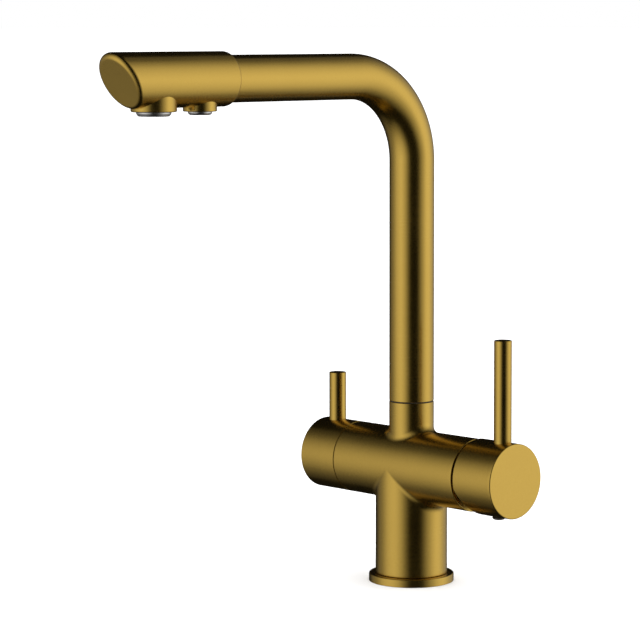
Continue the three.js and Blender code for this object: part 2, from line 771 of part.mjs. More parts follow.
function quarterBody() {
  const low = -quarterDepth + seat;
  const thread = turned([
    [0, low], [quarterRadius, low], [quarterRadius, seat], [quarterNeckRadius, seat],
    [quarterNeckRadius, quarterNeckEnd], [0, quarterNeckEnd],
  ], middle);
  const hexRadius = quarterHexWidth / 2 / Math.cos(Math.PI / 6);
  return cut(
    join(thread, prism(new THREE.Shape(polygon(6, hexRadius)), quarterHexHeight, at(0, 0, seat))),
    bar(quarterRadius - quarterWall, low - overrun, -quarterLand, middle),
    bar(spindleRadius + seat, -quarterLand - overrun, quarterNeckEnd + overrun, coarse),
  );
}

// Inlet on one side of the quarter turn valve and outlet on the other
function twoPortPlate(radius, low, high) {
  const port = (y) => drill(quarterPortRadius, [0, y, low - overrun], [0, y, high + overrun]);
  return cut(bar(radius, low, high, middle), port(-quarterPortPlace), port(quarterPortPlace));
}

function addFilterSide(tap) {
  const side = addGroup(tap, at(-filterFace, 0, crossHeight, 0, -90, 0));
  const inner = quarterRadius - quarterWall - seat;
  const sealLow = -quarterDepth + seat;
  const fixedLow = sealLow + portSealHeight + seat;
  const movingLow = fixedLow + filterDiscThickness + seat;
  const collarLow = movingLow + filterDiscThickness + seat;
  const collarTop = -quarterLand - seat;
  addPiece(side, 'filter_port_seal', twoPortPlate(inner, sealLow, sealLow + portSealHeight), 'rubber');
  addPiece(side, 'filter_valve_body', quarterBody(), 'brass');
  const fixed = twoPortPlate(inner, fixedLow, fixedLow + filterDiscThickness);
  addPiece(side, 'filter_fixed_disc', fixed, 'ceramic');
  const pocketLength = 2 * (quarterPortPlace + quarterPortRadius);
  const pocket = block(pocketWidth, pocketLength, 2 * pocketDepth, at(0, 0, movingLow));
  const moving = cut(bar(inner, movingLow, movingLow + filterDiscThickness, middle), pocket);
  addPiece(side, 'filter_moving_disc', moving, 'ceramic');
  const spindle = turned([
    [0, collarLow], [inner, collarLow], [inner, collarTop], [spindleRadius, collarTop],
    [spindleRadius, spindleEnd - edge], [spindleRadius - edge, spindleEnd], [0, spindleEnd],
  ], middle);
  addPiece(side, 'filter_spindle', spindle, 'brass');

  addPiece(side, 'filter_knob', filterKnob(), 'gold');
  const rod = lever(filterKnobRadius, filterLeverTop, filterStudDepth);
  addPiece(side, 'filter_lever', rod, 'gold', at(0, 0, filterLeverAxis, 0, 90, 0));
  const grub = grubScrew(spindleRadius + seat, filterKnobRadius - grubSink);
  addPiece(side, 'filter_set_screw', grub, 'steel', at(0, 0, filterLeverAxis, 0, -90, 0));
}

// ---------------------------------------------------------------- spout

function baseFitting() {
  const outer = neckBore - seat;
  const inside = riserRadius - riserWall - seat;
  const low = neckFloor + seat;
  const step = swivelHeight + seat;
  const top = step + fittingLength;
  const ringHalf = oRingThickness / 2 + seat;
  const grooves = [
    [oRingLow, ringHalf],
    [swivelScrewHeight, swivelScrewRadius + seat],
    [oRingHigh, ringHalf],
  ];
  const grooved = grooves.flatMap(([height, half]) => [
    [outer, height - half], [grooveFloor, height - half],
    [grooveFloor, height + half], [outer, height + half],
  ]);
  return ring([
    [fittingBore, low], [outer - edge, low], [outer, low + edge], ...grooved, [outer, step],
    [inside, step], [inside, top - edge], [inside - edge, top], [fittingBore, top],
  ], middle);
}

function oRing(height) {
  const radius = oRingThickness / 2;
  const middleRadius = neckBore - seat / 2 - radius;
  const section = polygon(6, radius).map((point) => [point.x + middleRadius, point.y + height]);
  return ring(section, middle);
}

function tubeFerrule() {
  const rim = ferruleRadius + ferruleRim;
  const collar = neckFloor + seat;
  const collarTop = collar + ferruleCollar;
  const end = tubeLow + barbLength;
  return ring([
    [lineBore, ferruleFloor + seat], [ferruleRadius, ferruleFloor + seat], [ferruleRadius, collar],
    [rim, collar], [rim, collarTop], [barbRadius, collarTop], [barbRadius, end], [lineBore, end],
  ], coarse);
}

// Turned piece cut obliquely, so that its top leans out along the arm. The profile can differ with
// the heading, which runs from the side over the top.
function leaning(profileAt) {
  const lean = Math.tan(headCut * degrees);
  const points = profileAt(0).map(([radius, height]) => new THREE.Vector2(radius, height));
  const geometry = new THREE.LatheGeometry(points, fine);
  const position = geometry.getAttribute('position');
  for (let step = 0; step <= fine; step += 1) {
    const heading = step / fine * 2 * Math.PI;
    profileAt(heading).forEach(([radius, height], row) => {
      const rise = radius * Math.sin(heading);
      const index = step * points.length + row;
      position.setXYZ(index, radius * Math.cos(heading), rise, headTip + height + rise * lean);
    });
  }
  return solid(geometry);
}

// Setbacks of the cap's rounding along the sleeve and across the face. It has one radius all the way
// round, so it reaches further at the top, where the cut leaves a sharp edge.
function capSetbacks(heading) {
  const rise = Math.sin(heading);
  const opening = Math.acos(rise * Math.sin(headCut * degrees));
  const setback = capRound / Math.tan(opening / 2);
  const across = Math.hypot(Math.cos(heading), rise * Math.cos(headCut * degrees));
  return [Math.min(setback, capThickness), setback * across];
}

function headCap() {
  const neck = capRadius - capGrooveDepth;
  const spigot = headBore - seat;
  const grooveBack = -capThickness - capGroove + seat;
  return leaning((heading) => {
    const [down, inwards] = capSetbacks(heading);
    return [
      [0, -capSpigot], [spigot, -capSpigot], [spigot, grooveBack], [neck, grooveBack],
      [neck, -capThickness], [capRadius, -capThickness], [capRadius, -down],
      [capRadius - 0.3 * inwards, -0.3 * down], [capRadius - inwards, 0], [0, 0],
    ];
  });
}

// Upright cylinder at a distance along the arm, from its axis down; a negative top starts above it
function boss(radius, place, top, drop, chamfer = 0, steps = fine) {
  return bar(radius, -drop, -top, steps, chamfer, 0, at(0, 0, place, -90, 0, 0));
}

function spoutHead() {
  const lapEnd = headStart + headLap;
  const beyond = headTip + 2 * headRadius;
  const lipRadius = riserRadius + seat + headLip;
  const rise = headRadius - lipRadius;
  const sleeve = turned([
    [0, headStart], [lipRadius, headStart], [lipRadius + 0.4 * rise, headStart + 0.35 * headShoulder],
    [headRadius, headStart + headShoulder], [headRadius, beyond], [0, beyond],
  ]);
  const cavity = bar(headBore, lapEnd, beyond + overrun, middle);
  const elbowPost = boss(filterBossRadius, filterOutlet, filterBossTop, headBore + overrun);
  const pastCut = leaning(() => [
    [0, -capThickness - capGroove], [headRadius + seat, -capThickness - capGroove],
    [headRadius + seat, 4 * headRadius], [0, 4 * headRadius],
  ]);
  return cut(
    join(
      sleeve,
      boss(mixedBossRadius, mixedOutlet, 0, mixedBossDrop, mixedBossEdge),
      boss(filterBossRadius, filterOutlet, filterBossTop, filterBossDrop, filterBossEdge),
    ),
    cut(cavity, elbowPost),
    bar(riserRadius + seat, headStart - overrun, lapEnd, fine),
    pastCut,
    boss(mixedBossRadius - bossWall, mixedOutlet, mixedWellTop, mixedBossDrop + overrun),
    boss(filterBossRadius - bossWall, filterOutlet, filterWellTop, filterBossDrop + overrun),
    boss(elbowRadius + seat, filterOutlet, 0, filterBossDrop - elbowLand, 0, coarse),
  );
}

function tubeElbow() {
  const barbStart = filterOutlet - knuckleRadius - barbLength;
  return cut(
    join(
      boss(elbowRadius, filterOutlet, 0, elbowDrop, 0, coarse),
      boss(knuckleRadius, filterOutlet, -knuckleRadius, knuckleDrop, 0, coarse),
      bar(barbRadius, barbStart, filterOutlet, coarse),
    ),
    boss(elbowBore, filterOutlet, -lineBore, elbowDrop + overrun, 0, coarse),
    bar(lineBore, barbStart - overrun, filterOutlet, coarse),
  );
}

// Aerator shell: threaded barrel inside the boss and a tapered lip below it
function aeratorShell(barrel, lip, bossDrop, drop) {
  const inner = lip - aeratorWall;
  const ledge = inner - ledgeWidth;
  const barrelTop = -bossDrop + outletThread;
  return ring([
    [ledge, -drop], [lip - aeratorTaper, -drop], [lip, -bossDrop - aeratorRim], [lip, -bossDrop],
    [barrel, -bossDrop], [barrel, barrelTop], [inner, barrelTop], [inner, -drop + ledgeHeight],
    [ledge, -drop + ledgeHeight],
  ], middle);
}

// Honeycomb that breaks up the stream
function aeratorInsert(radius, height) {
  const outline = new THREE.Shape().absarc(0, 0, radius, 0, 2 * Math.PI, false);
  const rows = Math.ceil(radius / meshPitch) + 1;
  for (let row = -rows; row <= rows; row += 1) {
    for (let column = -rows; column <= rows; column += 1) {
      const x = (column + (Math.abs(row) % 2) / 2) * meshPitch;
      const y = row * meshPitch * Math.sqrt(3) / 2;
      if (Math.hypot(x, y) + meshHole < radius - edge) {
        const place = new THREE.Vector2(x, y);
        const cell = polygon(6, meshHole, Math.PI / 6).map((corner) => corner.add(place));
        outline.holes.push(new THREE.Path(cell.reverse()));
      }
    }
  }
  return prism(outline, meshHeight, at(0, 0, height), middle / 2);
}

function addAerator(head, prefix, place, bossRadius, lip, bossDrop, drop) {
  const outlet = addGroup(head, at(0, 0, place, -90, 0, 0));
  const barrel = bossRadius - bossWall - seat;
  const inner = lip - aeratorWall;
  const sealLow = -bossDrop + outletThread + seat;
  addPiece(outlet, `${prefix}_shell`, aeratorShell(barrel, lip, bossDrop, drop), 'silver');
  const insert = aeratorInsert(inner - seat, -drop + ledgeHeight + seat);
  addPiece(outlet, `${prefix}_insert`, insert, 'plastic');
  const seal = washer(inner, barrel - seat, sealLow, sealLow + outletSealHeight, middle);
  addPiece(outlet, `${prefix}_seal`, seal, 'rubber');
}

function addSpout(tap) {
  const spout = addGroup(tap, at(0, 0, 0));
  const armEnd = headStart + headLap - seat;
  const tube = spoutPipe(riserRadius, riserRadius - riserWall, swivelHeight, armEnd, fine, bendSteps + 2);
  addPiece(spout, 'spout_tube', tube, 'gold');
  addPiece(spout, 'spout_base_fitting', baseFitting(), 'brass');
  addPiece(spout, 'spout_o_ring_lower', oRing(oRingLow), 'rubber');
  addPiece(spout, 'spout_o_ring_upper', oRing(oRingHigh), 'rubber');
  const tubeEnd = filterOutlet - knuckleRadius - seat;
  const waterTube = spoutPipe(waterTubeRadius, waterTubeBore, tubeLow, tubeEnd, 8, bendSteps);
  addPiece(spout, 'filter_water_tube', waterTube, 'hose');
  addPiece(spout, 'filter_tube_ferrule', tubeFerrule(), 'brass');

  const head = addGroup(spout, at(0, 0, armHeight, 90, 0, 0));
  addPiece(head, 'spout_head', spoutHead(), 'gold');
  addPiece(head, 'head_end_cap', headCap(), 'gold');
  addPiece(head, 'filter_tube_elbow', tubeElbow(), 'brass');
  const mixed = [mixedBossRadius, mixedAeratorRadius, mixedBossDrop, mixedAeratorDrop];
  addAerator(head, 'mixed_aerator', mixedOutlet, ...mixed);
  const filtered = [filterBossRadius, filterAeratorRadius, filterBossDrop, filterAeratorDrop];
  addAerator(head, 'filter_outlet', filterOutlet, ...filtered);
}

// ---------------------------------------------------------------- assembly

const tap = new THREE.Group();
addBase(tap);
addMixerSide(tap);
addFilterSide(tap);
addSpout(tap);

export default tap;
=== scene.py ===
"""Looks of the three way filtered water tap.

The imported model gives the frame: the origin is the middle of the base on the worktop, +Z is up, the
spout points along -Y, the mixer handle is at +X and the filtered water handle at -X. Sizes here are
in millimetres and become metres in the helpers.
"""

import json
from math import acos, atan2, cos, hypot, pi, radians, sin, sqrt, tan

import bmesh
import bpy
from mathutils import Matrix, Vector


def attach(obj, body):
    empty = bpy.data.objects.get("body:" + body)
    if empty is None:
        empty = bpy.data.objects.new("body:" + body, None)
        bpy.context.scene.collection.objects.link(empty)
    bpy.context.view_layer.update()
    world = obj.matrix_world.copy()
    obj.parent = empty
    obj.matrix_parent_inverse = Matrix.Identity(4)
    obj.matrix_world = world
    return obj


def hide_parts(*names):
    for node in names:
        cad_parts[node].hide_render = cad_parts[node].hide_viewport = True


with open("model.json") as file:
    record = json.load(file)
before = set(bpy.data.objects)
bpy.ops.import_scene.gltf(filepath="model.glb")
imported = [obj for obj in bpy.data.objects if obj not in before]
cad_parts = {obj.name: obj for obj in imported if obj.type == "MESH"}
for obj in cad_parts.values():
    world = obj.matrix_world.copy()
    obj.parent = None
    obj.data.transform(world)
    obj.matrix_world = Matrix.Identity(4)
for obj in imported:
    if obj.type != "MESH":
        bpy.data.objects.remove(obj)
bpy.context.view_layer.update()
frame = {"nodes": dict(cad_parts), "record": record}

# ---------------- sizes, most as in the part's source

MM = 0.001
SEAT = 0.3            # clearance where one piece rests on or in another
EDGE = 0.5            # rounding of machined edges
SOFT_EDGE = 0.3       # of rubber and of small turned pieces
THIN_EDGE = 0.2       # of rims and mouths
HAIRLINE = 0.08       # gap of a seam that is fitted flush
OVERRUN = 1.0         # of a cutter past the face that it opens
NEAR = 0.01           # within which two places count as one
MERGE = 0.002         # within which vertices are merged

FLANGE_RADIUS = 26.7
FLANGE_HEIGHT = 5.0
FLANGE_ROUND = 0.8
BODY_RADIUS = 22.5
SPIGOT_RADIUS = 20.2
CROSS_HEIGHT = 72.9
MIXER_FACE = 56.0
FILTER_FACE = 47.8
BODY_FILLET = 5.3
NECK_FILLET = 5.3
STUB = 1.0            # straight part of a turned piece before the fillet drawn on from it
NECK_SINK = 0.4       # depth of the neck's rim inside the tube
SEAL_WIDTH = 2.8
SEAL_HEIGHT = 1.8

SOCKET_RADIUS = 4.6
SOCKET_DEPTH = 12.0
SOCKET_SIDE = 8.1     # the four sockets sit on a square round the middle
STUD_RADIUS = 3.4

NECK_RADIUS = 14.05
SWIVEL_HEIGHT = 114.4
BEARING_THICKNESS = 0.6
NECK_BORE = 11.2
NECK_BORE_DEPTH = 14.4
FERRULE_RADIUS = 4.0
FERRULE_DEPTH = 8.0
SWIVEL_SCREW_RADIUS = 2.2
GROOVE_DEPTH = 2.0
SWIVEL_EDGE = 0.25    # rounding on both sides of the seam

RISER_RADIUS = 14.0
RISER_WALL = 1.5
ARM_HEIGHT = 317.3
BEND_RADIUS = 53.1

HEAD_RADIUS = 16.15
HEAD_START = 154.7
HEAD_TIP = 234.2
HEAD_LAP = 6.0
HEAD_BORE = 13.0
HEAD_LIP = 0.06       # flat end of the sleeve, round the arm
HEAD_SHOULDER = 1.9   # rounding of the sleeve where it meets the arm
HEAD_CUT = 29.65      # degrees that the end cap leans out at the top
HEAD_ROUND = 2.95     # of the end's outer edge, which the cap and the sleeve share
CAP_RADIUS = 15.4     # of the seam between them
CAP_SEAT = 3.6        # depth of the recess that the cap sits in
CAP_SPIGOT = 6.5

MIXED_OUTLET = 208.2
MIXED_BOSS_RADIUS = 13.25
MIXED_BOSS_DROP = 18.2
MIXED_BOSS_EDGE = 0.8
MIXED_WELL_TOP = 9.5
MIXED_AERATOR_RADIUS = 10.1
MIXED_AERATOR_DROP = 20.7
FILTER_OUTLET = 173.6
FILTER_BOSS_RADIUS = 9.9
FILTER_BOSS_TOP = 6.0
FILTER_BOSS_DROP = 18.6
FILTER_BOSS_EDGE = 0.6
FILTER_WELL_TOP = 10.8
FILTER_AERATOR_RADIUS = 7.1
FILTER_AERATOR_DROP = 20.6
BOSS_WALL = 0.9
ELBOW_RADIUS = 2.9
ELBOW_LAND = 4.0
OUTLET_THREAD = 5.5
AERATOR_WALL = 1.4
AERATOR_RIM = 0.9
AERATOR_TAPER = 1.1
LEDGE_WIDTH = 0.9
LEDGE_HEIGHT = 1.0
MESH_HEIGHT = 3.4
MESH_PITCH = 2.4
MESH_HOLE = 1.15
OUTLET_LIP_EDGE = 0.4
LEDGE_EDGE = 0.15

LEVER_RADIUS = 5.45
LEVER_SINK = 3.6
LEVER_STUD_RADIUS = 3.3
GRUB_RADIUS = 2.4
GRUB_SINK = 8.0
HEX_KEY_RADIUS = 1.4
HEX_KEY_DEPTH = 2.0

MIXER_GAP = 1.5
MIXER_SEAM = 2.05     # between the two rims
MIXER_KNOB_RADIUS = 23.0
MIXER_KNOB_LENGTH = 31.4
MIXER_KNOB_EDGE = 0.7
MIXER_KNOB_WALL = 2.2
MIXER_HOLLOW = 13.1
RELIEF_START = 4.2
RELIEF_ANGLE = 25.2
MIXER_LEVER_PLACE = 20.6
MIXER_LEVER_TOP = 85.2
MIXER_STUD_DEPTH = 11.0
PLUG_RADIUS = 4.0
PLUG_SIDE = 0.68      # height of its straight side
PLUG_EDGE = 0.15
PLUG_DOME_RADIUS = 3.2
PLUG_DOME_HEIGHT = 1.445
PLUG_DOME_EDGE = 0.6
PLUG_TOP_RADIUS = 1.2
PLUG_HEIGHT = 1.7
PLUG_SHANK = 6.0
PLUG_PLACE = 17.7
STEM_WIDTH = 6.0
STEM_GRIP = 9.0
CARTRIDGE_RADIUS = 17.3
CARTRIDGE_DEPTH = 27.2
CARTRIDGE_SHOULDER = 3.5
NUT_RADIUS = 19.0
NUT_GRIP_RADIUS = 16.4
COVER_RING_RADIUS = 19.8
COVER_RING_HEIGHT = 1.1

FILTER_GAP = 0.4
FILTER_KNOB_LENGTH = 29.8
FILTER_KNOB_WALL = 2.4
FILTER_HOLLOW = 13.0
FILTER_LEVER_PLACE = 19.0
FILTER_LEVER_TOP = 52.7
FILTER_STUD_DEPTH = 9.0
QUARTER_RADIUS = 10.4
QUARTER_DEPTH = 25.0
SPINDLE_RADIUS = 4.0
SPINDLE_END = 21.0

# smoothness of the meshes
FINE = 192            # edges round the body, knobs, spout and head
MIDDLE = 96           # round the levers and outlets
COARSE = 48           # round screws and holes
HEXAGON = 6           # round a key's socket or a cell
RING_PITCH = 2.5      # between the rings of a wall with holes
TUBE_PITCH = 10.0     # of one without holes
END_RING = 0.6        # radius of the innermost ring of an end face
ROUND_STEPS = 4       # across a rounded edge
FLARE_STEPS = 10      # across a fillet between two tubes
BEND_STEPS = 64       # round the spout's bend
END_EDGE_STEPS = 10   # across the head's rounded end, on the sleeve and on the cap
CAP_FACE_RINGS = 12
SMOOTH_ANGLE = 32     # degrees between faces that shade as one
DOME_ANGLE = 50       # the same, on the plug
LEAST_ANGLE = 0.001   # radians between two spokes that aren't one

# worked out places
BEARING_LOW = SWIVEL_HEIGHT - SEAT - BEARING_THICKNESS
NECK_TOP = BEARING_LOW - HAIRLINE
RISER_FOOT = BEARING_LOW + BEARING_THICKNESS + HAIRLINE
NECK_FLOOR = NECK_TOP - NECK_BORE_DEPTH
SWIVEL_SCREW_HEIGHT = NECK_FLOOR + NECK_BORE_DEPTH / 2

UP = Vector((0, 0, 1))
DOWN = Vector((0, 0, -1))
RIGHT = Vector((1, 0, 0))
LEFT = Vector((-1, 0, 0))
BACK = Vector((0, 1, 0))
ALONG_ARM = Vector((0, -1, 0))
ORIGIN = Vector((0, 0, 0))
MIXER_SIDE = Vector((MIXER_FACE, 0, CROSS_HEIGHT))
FILTER_SIDE = Vector((-FILTER_FACE, 0, CROSS_HEIGHT))
ARM = Vector((0, 0, ARM_HEIGHT))
MIXER_LEVER_AXIS = MIXER_SIDE + RIGHT * (MIXER_GAP + MIXER_LEVER_PLACE)
PLUG_AXIS = MIXER_SIDE + RIGHT * (MIXER_GAP + PLUG_PLACE)
FILTER_LEVER_AXIS = FILTER_SIDE + LEFT * (FILTER_GAP + FILTER_LEVER_PLACE)


# ---------------- modelling helpers


def deselect_objects():
    for chosen in list(bpy.context.selected_objects):
        chosen.select_set(False)


def only(piece):
    deselect_objects()
    piece.select_set(True)
    bpy.context.view_layer.objects.active = piece


def edit(piece, mode):
    """Goes into edit mode on one piece, choosing by VERT, EDGE or FACE, with nothing chosen."""
    only(piece)
    bpy.ops.object.mode_set(mode="EDIT")
    bpy.ops.mesh.select_mode(type=mode)
    bpy.ops.mesh.select_all(action="DESELECT")


def edit_all(piece, mode):
    """Goes into edit mode on one piece with all of it chosen."""
    edit(piece, mode)
    bpy.ops.mesh.select_all(action="SELECT")


def leave_edit():
    bpy.ops.object.mode_set(mode="OBJECT")


def choose(piece, elements, test):
    """Chooses the vertices, edges or faces of the piece in edit mode that pass the test."""
    mesh = bmesh.from_edit_mesh(piece.data)
    for element in getattr(mesh, elements):
        element.select_set(test(element))
    mesh.select_flush_mode()
    bmesh.update_edit_mesh(piece.data)


def is_rim(edge):
    return edge.is_boundary


def open_up(piece, test):
    """Takes away the faces that pass the test and leaves their edges."""
    edit(piece, "FACE")
    choose(piece, "faces", test)
    bpy.ops.mesh.delete(type="ONLY_FACE")
    leave_edit()


def point_on(base, axis, height):
    return (base + axis * height) * MM


def radius_and_height(place, base, axis):
    """Distance of a place, in metres, from an axis and along it, in millimetres."""
    offset = place / MM - base
    height = offset.dot(axis)
    return (offset - axis * height).length, height


def with_rings(profile, pitch=RING_PITCH):
    """The profile with more rings on its long stretches, so that cut holes leave no long faces."""
    full = [profile[0]]
    for start, end in zip(profile, profile[1:]):
        spans = max(1, round(hypot(end[0] - start[0], end[1] - start[1]) / pitch))
        for step in range(1, spans):
            share = step / spans
            full.append((start[0] + (end[0] - start[0]) * share, start[1] + (end[1] - start[1]) * share))
        full.append(end)
    return full


def extrude_rings(profile, base, axis):
    """Extrudes what is chosen from ring to ring: a push along the axis, then a scale about it."""
    radius, height = profile[0][:2]
    for next_radius, next_height in (place[:2] for place in profile[1:]):
        push = axis * ((next_height - height) * MM)
        bpy.ops.mesh.extrude_region_move(TRANSFORM_OT_translate={"value": push})
        if next_radius != radius:
            grow = next_radius / radius
            centre = point_on(base, axis, next_height)
            bpy.ops.transform.resize(value=(grow, grow, grow), center_override=centre)
        radius, height = next_radius, next_height


def round_rings(piece, profile, base, axis):
    """Rounds the ring at each place of the profile that has a third number, its width."""
    for radius, height, width in (place for place in profile if len(place) == 3):
        edit(piece, "EDGE")

        def on_ring(vertex):
            away, along = radius_and_height(vertex.co, base, axis)
            return abs(away - radius) < NEAR and abs(along - height) < NEAR

        choose(piece, "edges", lambda edge: all(on_ring(vertex) for vertex in edge.verts))
        bpy.ops.mesh.bevel(offset=width * MM, segments=ROUND_STEPS, profile=0.5, affect="EDGES")
        leave_edit()


def circle(name, radius, height, base, axis, steps, fill):
    deselect_objects()
    bpy.ops.mesh.primitive_circle_add(
        vertices=steps,
        radius=radius * MM,
        fill_type=fill,
        location=point_on(base, axis, height),
        rotation=UP.rotation_difference(axis).to_euler(),
    )
    piece = bpy.context.object
    piece.name = name
    bpy.ops.object.transform_apply(location=True, rotation=True, scale=True)
    return piece


def clean(piece):
    """Merges doubles and turns every face outwards."""
    edit_all(piece, "VERT")
    bpy.ops.mesh.remove_doubles(threshold=MERGE * MM)
    bpy.ops.mesh.normals_make_consistent(inside=False)
    leave_edit()


def turned(name, profile, base=ORIGIN, axis=UP, steps=FINE):
    """A solid turned on an axis: a disc at the first place, extruded ring by ring to the last."""
    piece = circle(name, profile[0][0], profile[0][1], base, axis, steps, "NGON")
    edit_all(piece, "FACE")
    extrude_rings(profile, base, axis)
    leave_edit()
    clean(piece)
    round_rings(piece, profile, base, axis)
    return piece


def turned_ring(name, profile, base=ORIGIN, axis=UP, steps=FINE):
    """A ring turned on an axis: a circle extruded round its closed profile and merged."""
    piece = circle(name, profile[0][0], profile[0][1], base, axis, steps, "NOTHING")
    edit_all(piece, "EDGE")
    extrude_rings([*profile, profile[0]], base, axis)
    leave_edit()
    clean(piece)
    round_rings(piece, profile, base, axis)
    return piece


def section(inner, outer, low, top, low_edge, top_edge):
    """Profile of a plain ring, with the rounding of its lower and its upper edges."""
    lower = [(inner, low, low_edge), (outer, low, low_edge)]
    return [*lower, (outer, top, top_edge), (inner, top, top_edge)]


def combine(piece, tool, operation):
    """Adds one solid to another or takes it away, and removes the tool."""
    only(piece)
    change = piece.modifiers.new(operation.lower(), "BOOLEAN")
    change.operation = operation
    change.solver = "EXACT"
    change.object = tool
    bpy.ops.object.modifier_apply(modifier=change.name)
    bpy.data.objects.remove(tool)


def cut(piece, *tools):
    for tool in tools:
        combine(piece, tool, "DIFFERENCE")
    clean(piece)


def drill(radius, start, end, base=ORIGIN, axis=UP, steps=COARSE):
    return turned("drill", [(radius, start), (radius, end)], base, axis, steps)


def block(name, low, high):
    """A box between two corners, in millimetres."""
    deselect_objects()
    low, high = Vector(low), Vector(high)
    bpy.ops.mesh.primitive_cube_add(size=1, location=(low + high) / 2 * MM, scale=(high - low) * MM)
    piece = bpy.context.object
    piece.name = name
    bpy.ops.object.transform_apply(location=True, rotation=True, scale=True)
    return piece


RECORD = frame["record"]
BODY_OF = {node: body for body, nodes in RECORD["behaviour"]["bodies"].items() for node in nodes}
SLOT_OF = {part["node"]: part["material_slot"] for part in RECORD["subparts"]}


def finish(piece, node, material, smooth=SMOOTH_ANGLE):
    """Shades the piece and puts it in the place of its CAD node."""
    clean(piece)
    only(piece)
    bpy.ops.object.shade_smooth_by_angle(angle=radians(smooth))
    weights = piece.modifiers.new("weights", "WEIGHTED_NORMAL")
    weights.keep_sharp = True
    bpy.ops.object.modifier_apply(modifier=weights.name)
    piece.name = f"{node}_finished"
    piece.data.name = piece.name
    piece.data.materials.clear()
    piece.data.materials.append(material)
    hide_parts(node)
    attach(piece, BODY_OF[node])
    return piece


# ---------------- base and valve body


def make_base_flange(material):
    inner = SPIGOT_RADIUS + SEAT
    groove_inner = inner + EDGE
    groove_outer = groove_inner + SEAL_WIDTH + 2 * SEAT
    groove_top = SEAL_HEIGHT + SEAT
    flange = turned_ring("base_flange", [
        (inner, 0), (groove_inner, 0), (groove_inner, groove_top), (groove_outer, groove_top),
        (groove_outer, 0), (FLANGE_RADIUS, 0, THIN_EDGE), (FLANGE_RADIUS, FLANGE_HEIGHT, FLANGE_ROUND),
        (inner, FLANGE_HEIGHT, THIN_EDGE),
    ])
    finish(flange, "base_flange", material)


def make_base_seal(material):
    inner = SPIGOT_RADIUS + 2 * SEAT + EDGE
    outer = inner + SEAL_WIDTH
    seal = turned_ring("base_seal", section(inner, outer, 0, SEAL_HEIGHT, SOFT_EDGE, SOFT_EDGE))
    finish(seal, "base_seal", material)


def rolled(heading, share, post, beam, fillet, side):
    """A place on the fillet between an upright post and the level tube, from the post at share 0 to
    the tube at share 1: the surface of a ball that touches both of them at that heading."""
    ball = Vector((cos(heading), sin(heading), 0)) * (post + fillet)
    ball.z = side * sqrt(max(0, (beam + fillet) ** 2 - ball.y**2))
    to_post = Vector((-cos(heading), -sin(heading), 0))
    to_beam = Vector((0, -ball.y, -ball.z)).normalized()
    opening = to_post.angle(to_beam)
    if opening < LEAST_ANGLE:
        return ball + to_post * fillet + UP * CROSS_HEIGHT
    spoke = to_post * sin((1 - share) * opening) + to_beam * sin(share * opening)
    return ball + spoke.normalized() * fillet + UP * CROSS_HEIGHT


def mark_headings(piece, base=ORIGIN, quarter=BACK):
    """Keeps on every vertex its heading round an axis, which what is extruded from it inherits. The
    heading starts on the right and runs towards the direction named quarter."""
    edit(piece, "VERT")
    mesh = bmesh.from_edit_mesh(piece.data)
    heading_of = mesh.verts.layers.float.new("heading")
    for vertex in mesh.verts:
        offset = vertex.co - base * MM
        vertex[heading_of] = atan2(offset.dot(quarter), offset.x)
    leave_edit()


def forget_headings(piece):
    piece.data.attributes.remove(piece.data.attributes["heading"])


def extrude_through(piece, test, stations):
    """Extrudes the edges that pass the test through stations, each a place for every heading."""
    edit(piece, "EDGE")
    choose(piece, "edges", test)
    for place_of in stations:
        bpy.ops.mesh.extrude_region_move(TRANSFORM_OT_translate={"value": (0, 0, 0)})
        mesh = bmesh.from_edit_mesh(piece.data)
        heading_of = mesh.verts.layers.float["heading"]
        for vertex in mesh.verts:
            if vertex.select:
                vertex.co = place_of(vertex[heading_of]) * MM
        bmesh.update_edit_mesh(piece.data)
    leave_edit()


def close_end(piece):
    """Closes the one opening that is left in a piece."""
    edit(piece, "EDGE")
    choose(piece, "edges", is_rim)
    bpy.ops.mesh.edge_face_add()
    leave_edit()


def flare_stations(post, fillet, side):
    def station(share):
        return lambda heading: rolled(heading, share, post, BODY_RADIUS, fillet, side)

    return [station(step / FLARE_STEPS) for step in range(FLARE_STEPS + 1)]


def make_neck():
    """Neck with its fillet. The last two stations sink its end into the tube and close it there."""
    straight_low = CROSS_HEIGHT + BODY_RADIUS + NECK_FILLET + STUB
    neck = turned("neck", [(NECK_RADIUS, NECK_TOP, SWIVEL_EDGE), (NECK_RADIUS, straight_low)])
    mark_headings(neck)
    lowest = (straight_low + NEAR) * MM
    open_up(neck, lambda face: max(vertex.co.z for vertex in face.verts) < lowest)

    def sunk(heading):
        place = rolled(heading, 1, NECK_RADIUS, BODY_RADIUS, NECK_FILLET, 1)
        inward = Vector((0, -place.y, CROSS_HEIGHT - place.z)).normalized()
        return place + inward * NECK_SINK

    def inside(heading):
        return Vector((cos(heading), sin(heading), 0)) * NECK_BORE + UP * CROSS_HEIGHT

    stations = flare_stations(NECK_RADIUS, NECK_FILLET, 1)
    stations += [sunk, inside]
    extrude_through(neck, is_rim, stations)
    close_end(neck)
    forget_headings(neck)
    clean(neck)
    return neck


